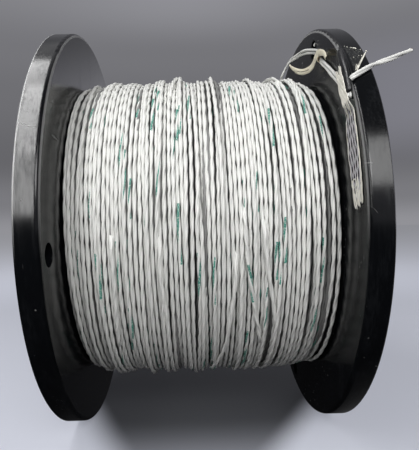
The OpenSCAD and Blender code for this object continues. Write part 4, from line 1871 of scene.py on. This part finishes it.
@dataclass
class FilamentTape:
    """The clear tape down the right flange's face: film, a net of fibres and bunched fibres at its ends.

    Attributes:
        left_border: Places along it and across it, towards the back of the spool, of its left border.
        right_border: The same for its right border.
        raised: How far down it is raised over the wire, before a slope down on the face.
        lean: How far it leans from upright.
        top_depth: How deep inside the rim its top end is, at top_angle.
        swing_length: How long one swing of its fibres is.
        swell: How much a fibre swells and thins along its swing.
        waver: How far a fibre strays at random.
        bubble_at: Where along and across the tape the ring of a bubble is.
    """

    spool: SpoolFrame
    left_border: tuple = (
        (0.000, -0.0030), (0.003, -0.0010), (0.008, -0.0004), (0.017, -0.0012), (0.030, -0.0042),
        (0.037, -0.0058), (0.039, -0.0052), (0.042, -0.0014), (0.0445, 0.0018), (0.063, 0.0036),
        (0.073, 0.0032), (0.098, 0.0026),
    )
    right_border: tuple = (
        (0.000, -0.0066), (0.012, -0.0076), (0.022, -0.0100), (0.030, -0.0122), (0.038, -0.0144),
        (0.0427, -0.0124), (0.058, -0.0130), (0.078, -0.0128), (0.088, -0.0116), (0.098, -0.0100),
    )
    length: float = 0.098
    raised: float = 0.037
    slope: float = 0.007
    thickness: float = 0.0004
    wire_d: float = 0.0028
    lean: float = 14.5
    top_angle: float = 47.2
    top_depth: float = 0.0019
    film_t: float = 0.00012
    swing_length: float = 0.0135
    swell: float = 0.35
    waver: float = 0.00022
    waver_knots: int = 24
    fibre_step: float = 0.0008
    seed: int = 5
    net_rows: int = 9
    bubble_at: tuple = (0.0835, -0.0008)
    bubble_size: tuple = (0.0024, 0.0036)
    bubble_steps: int = 33

    def centre_x(self, along: float) -> float:
        """Returns x of the tape's middle plane: raised over the wire, then down on the face."""
        low = self.spool.inner_x - self.thickness / 2 - self.spool.lay_gap / 2
        high = self.spool.inner_x - 2 * self.spool.lay_gap - self.wire_d - self.thickness / 2
        return high + (low - high) * eased(min(max((along - self.raised) / self.slope, 0), 1))

    def place(self, along: float, across: float, out: float = 0.0) -> Vector:
        """Returns a point of the tape.

        Args:
            along: The distance down from its top end.
            across: The distance towards the back of the spool.
            out: The distance off its middle plane, away from the flange.

        Returns:
            The point.
        """
        turned = math.radians(self.lean)
        top = around(0, self.spool.flange_r - self.top_depth, self.top_angle)
        y = top.y + across * math.cos(turned) - along * math.sin(turned)
        z = top.z - across * math.sin(turned) - along * math.cos(turned)
        return Vector((self.centre_x(along) - out, y, z))

    def across(self, along: np.ndarray, share: float) -> np.ndarray:
        """Returns how far across a share from the left border to the right one is, at places along."""
        left = np.interp(along, *np.array(self.left_border).T)
        right = np.interp(along, *np.array(self.right_border).T)
        return left + (right - left) * share

    def fibres(
        self, name: str, lines: Sequence[FibreLine], finish: Finish, out: float, height: float
    ) -> None:
        """Makes flat wavy fibres on the tape as one piece.

        Args:
            name: The piece's name.
            lines: The fibres.
            finish: What they are made of.
            out: How far off the tape's middle plane they lie.
            height: How thick they are, as a share of their width.
        """
        dice = np.random.default_rng(self.seed + len(lines))
        knots = np.linspace(0, self.length, self.waver_knots)
        strands = []
        for fibre in lines:
            count = max(int((fibre.end - fibre.start) / self.fibre_step), 4)
            along = np.linspace(fibre.start, fibre.end, count + 1)
            waver = np.interp(along, knots, dice.uniform(-1, 1, self.waver_knots)) * self.waver
            swings = along / self.swing_length + fibre.phase
            across = self.across(along, fibre.share) + fibre.swing * np.cos(2 * np.pi * swings) + waver
            line = np.array([self.place(s, w, out) for s, w in zip(along, across)])
            swell = 1 + self.swell * np.cos(4 * np.pi * swings + math.pi)
            strands.append(self.flat_strand(line, fibre.half_width, height, swell))
        piece = strands_mesh(name, strands, 8)
        settle(piece, finish, "clear_tape", "filament_tape")

    @staticmethod
    def flat_strand(line: np.ndarray, half_width: float, height: float, swell: np.ndarray) -> Strand:
        """Returns a flat strand along a line, thinned to its ends."""
        ways = headings(line)
        outs = square_to(ways, np.tile([-1.0, 0.0, 0.0], (len(line), 1)))
        ends = tapered(np.linspace(-1, 1, len(line)), 12, 0.04)
        sides = np.cross(ways, outs) * (swell * ends)[:, None]
        return Strand(line, outs * height * ends[:, None], sides, half_width, np.linspace(0, 1, len(line)))

    def build_film(self) -> None:
        """Makes the clear film."""

        def place(share: float, across: float) -> Vector:
            """Returns a point of the film."""
            along = self.length * share
            return self.place(along, float(self.across(along, across)))

        piece = laid_sheet("tape_film", (70, 8), place)
        thicken(piece, self.film_t)
        settle(piece, ClearFilm(), "clear_tape", "filament_tape")

    def build_net(self) -> None:
        """Makes the net of thin fibres and the glued border."""
        net = [
            FibreLine(
                share=(k + 0.45) / self.net_rows, start=0.034 + 0.0022 * ((k * 2) % 3),
                end=self.length - 0.0015 - 0.002 * (k % 2), half_width=0.00038, swing=0.00056,
                phase=0.5 * (k % 2),
            )
            for k in range(self.net_rows)
        ]
        self.fibres("tape_net", net, TAPE_FIBRE, 0.00022, 0.35)
        border = [
            FibreLine(1.0, 0.036, self.length, 0.00062, 0.00015, 0.2),
            FibreLine(0.94, 0.074, self.length - 0.004, 0.0004, 0.0003, 0.6),
            FibreLine(0.02, 0.040, self.length - 0.002, 0.0003, 0.0002, 0.1),
        ]
        self.fibres("tape_border", border, GLUED_FIBRE, 0.00028, 0.5)

    def build_bunches(self) -> None:
        """Makes the bunched cream fibres over the wire and at the cut end."""
        upper = [
            FibreLine(
                share=k / 10, start=0.011 + 0.0012 * ((k * 5) % 7), end=0.036 + 0.0030 * ((k * 5) % 4),
                half_width=0.00064 - 0.00002 * k, swing=0.00050, phase=0.37 * k,
            )
            for k in range(11)
        ]
        self.fibres("tape_top_bunch", upper, GLUED_FIBRE, 0.0004, 0.8)
        lower = [
            FibreLine(
                share=0.14 + 0.13 * k, start=0.081 + 0.0028 * ((k * 3) % 4),
                end=self.length + 0.0013 * math.sin(2.1 * k), half_width=0.00052, swing=0.00035,
                phase=0.23 * k,
            )
            for k in range(7)
        ]
        self.fibres("tape_end_bunch", lower, GLUED_FIBRE, 0.00030, 0.6)

    def build_bubble(self) -> None:
        """Makes the ring of a bubble."""
        (along, across), (tall, wide) = self.bubble_at, self.bubble_size
        ring = np.array([
            self.place(along + tall * math.cos(turned), across + wide * math.sin(turned), 0.0003)
            for turned in np.linspace(0, 2 * np.pi, self.bubble_steps)
        ])
        strand = self.flat_strand(ring, 0.00045, 0.5, np.ones(self.bubble_steps))
        settle(strands_mesh("tape_bubble", [strand], 8), GLUED_FIBRE, "clear_tape", "filament_tape")

    def build(self) -> None:
        """Makes the whole tape."""
        self.build_film()
        self.build_net()
        self.build_bunches()
        self.build_bubble()


@dataclass
class TapeFlap:
    """The same tape's loose end, clear and folded over the rim, with a thick glued edge.

    Attributes:
        height: How far off the rim it lies.
        top: x and angle of the points along its top edge.
        foot: x and angle of its lower tip.
        reach: How near to the tip the film comes, as a share.
        beads: x and angle of both ends of each bright line on it, and the line's thickness. They are partly
            the film's fibre edge and frayed fibres, and partly painted glints.
    """

    spool: SpoolFrame
    height: float = 0.00035
    film_t: float = 0.00015
    top: tuple = ((0.0901, 44.4), (0.0975, 45.6), (0.1025, 47.2))
    top_shares: tuple = (0.0, 0.6, 1.0)
    foot: tuple = (0.0903, 55.8)
    reach: float = 0.97
    # Partly painted glints: short bright lines stand in for light caught on the folded film; the rest are its
    # fibre edge and frayed fibres.
    beads: tuple = (
        ((0.1024, 47.1), (0.0903, 55.9), 0.00034),
        ((0.1014, 47.6), (0.0907, 54.9), 0.00018),
        ((0.0950, 45.4), (0.0972, 45.8), 0.00046),
        ((0.0938, 45.2), (0.0946, 45.3), 0.00040),
        ((0.0918, 44.8), (0.0924, 44.9), 0.00030),
        ((0.0903, 44.5), (0.0907, 44.55), 0.00036),
        ((0.0990, 46.3), (0.0992, 46.5), 0.00030),
        ((0.1020, 47.0), (0.1025, 47.3), 0.00050),
        ((0.0912, 54.4), (0.0928, 52.4), 0.00016),
        ((0.0918, 54.4), (0.0934, 52.6), 0.00016),
        ((0.0925, 54.1), (0.0938, 52.9), 0.00016),
        ((0.0962, 49.2), (0.0964, 49.1), 0.00030),
        ((0.0978, 49.4), (0.0984, 48.9), 0.00022),
        ((0.0927, 49.9), (0.0929, 49.7), 0.00025),
    )
    bead_lift: float = 0.0002
    bead_steps: int = 9

    def on_rim(self, x: float, angle: float, out: float) -> Vector:
        """Returns a point over the rim, so far off the film."""
        return around(x, self.spool.flange_r + self.height + out, angle)

    def build_film(self) -> None:
        """Makes the clear film."""
        top_x, top_angle = zip(*self.top)

        def place(share: float, across: float) -> Vector:
            """Returns a point of the film."""
            down = across * self.reach
            x, angle = np.interp(share, self.top_shares, top_x), np.interp(share, self.top_shares, top_angle)
            x, angle = x + (self.foot[0] - x) * down, angle + (self.foot[1] - angle) * down
            ripple = 0.00010 * math.sin(9 * share + 5 * across) + 0.00006 * math.sin(23 * share)
            return self.on_rim(float(x), float(angle), ripple)

        film = laid_sheet("flap_film", (14, 14), place)
        thicken(film, self.film_t)
        settle(film, ClearFilm("Loose film", clearness=(0.03, 0.3)), "clear_tape", "tape_flap")

    def build_beads(self) -> None:
        """Makes the bright lines on the film: partly its fibre edge and fibres, partly painted glints."""
        share = np.linspace(0, 1, self.bead_steps)
        swell = tapered(2 * share - 1, 6, 0.15)[:, None]
        strands = []
        for (x0, a0), (x1, a1), radius in self.beads:
            places = ((x0 + (x1 - x0) * t, a0 + (a1 - a0) * t) for t in share)
            line = np.array([self.on_rim(*place, self.bead_lift) for place in places])
            ways = headings(line)
            sides = carried_sides(ways, (1, 0.2, 0.1))
            strands.append(Strand(line, np.cross(sides, ways) * swell, sides * swell, radius, share))
        settle(strands_mesh("flap_beads", strands, 8), GLUED_FIBRE, "clear_tape", "tape_flap")

    def build(self) -> None:
        """Makes the film and the bright lines on it."""
        self.build_film()
        self.build_beads()


@dataclass
class EdgeStrip:
    """The short black strip that is pressed over the wire at the flange's edge, round at both ends.

    Attributes:
        places: How far off the flange's face, how deep inside the rim and at which angle its middle
            line lies at each of its points.
        lean: How far it is turned from lying on the face towards lying on the rim.
    """

    spool: SpoolFrame
    places: tuple = (
        (0.0004, -0.0002, 46.2), (0.0012, -0.0004, 49.0), (0.0018, -0.0004, 52.0),
        (0.0020, 0.0002, 55.0), (0.0022, 0.0012, 57.8), (0.0022, 0.0026, 60.4),
    )
    half_width: float = 0.0024
    half_height: float = 0.0015
    lean: float = 38.0
    steps: int = 8
    ring_sides: int = 20

    def build(self) -> None:
        """Makes the strip along its middle line."""
        spool = self.spool
        middle = [around(spool.inner_x - x, spool.flange_r - depth, angle) for x, depth, angle in self.places]
        line = np.array(smooth_line(middle, self.steps))
        share = np.linspace(0, 1, len(line))
        ways = headings(line)
        leaning = math.radians(self.lean)
        ups = carried_sides(ways, around(-math.cos(leaning), math.sin(leaning), self.places[0][2]))
        ends = tapered(2 * share - 1, 14, 0.02)[:, None]
        flat = self.half_height / self.half_width
        strand = Strand(line, ups * ends * flat, np.cross(ways, ups) * ends, self.half_width, share)
        piece = strands_mesh("edge_strip_arched", [strand], self.ring_sides)
        settle(piece, BLACK_VINYL, "black_strip", "edge_strip")


# ---- Construction nodes that stay ----


DRESSINGS: dict[Finish, tuple] = {
    FlangePlastic(): ("left_flange", "right_flange"),
    DRUM_BOARD: ("drum_tube",),
    ZincSteel("Bushing steel"): ("left_bushing", "right_bushing"),
    ZincSteel("Fastener steel", (0.50, 0.50, 0.50, 1), roughness=0.34): (
        "left_bushing_screws", "right_bushing_screws", "tie_bolts",
        "left_washers", "right_washers", "tie_nuts",
    ),
}


def main() -> None:
    """Builds and dresses the whole spool, camera and cords first."""
    logging.basicConfig(level=logging.INFO, format="%(name)s: %(message)s")
    spool = SpoolFrame.from_nodes()
    Studio(floor_z=-spool.flange_r).build()
    WireEnd(spool).build()
    FreeTail(spool).build()
    Winding(spool).build()
    LoopBand(spool).build()
    TieString(spool).build()
    FilamentTape(spool).build()
    TapeFlap(spool).build()
    EdgeStrip(spool).build()
    for finish, names in DRESSINGS.items():
        for name in names:
            coat(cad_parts[name], finish)


if __name__ == "__main__":
    main()
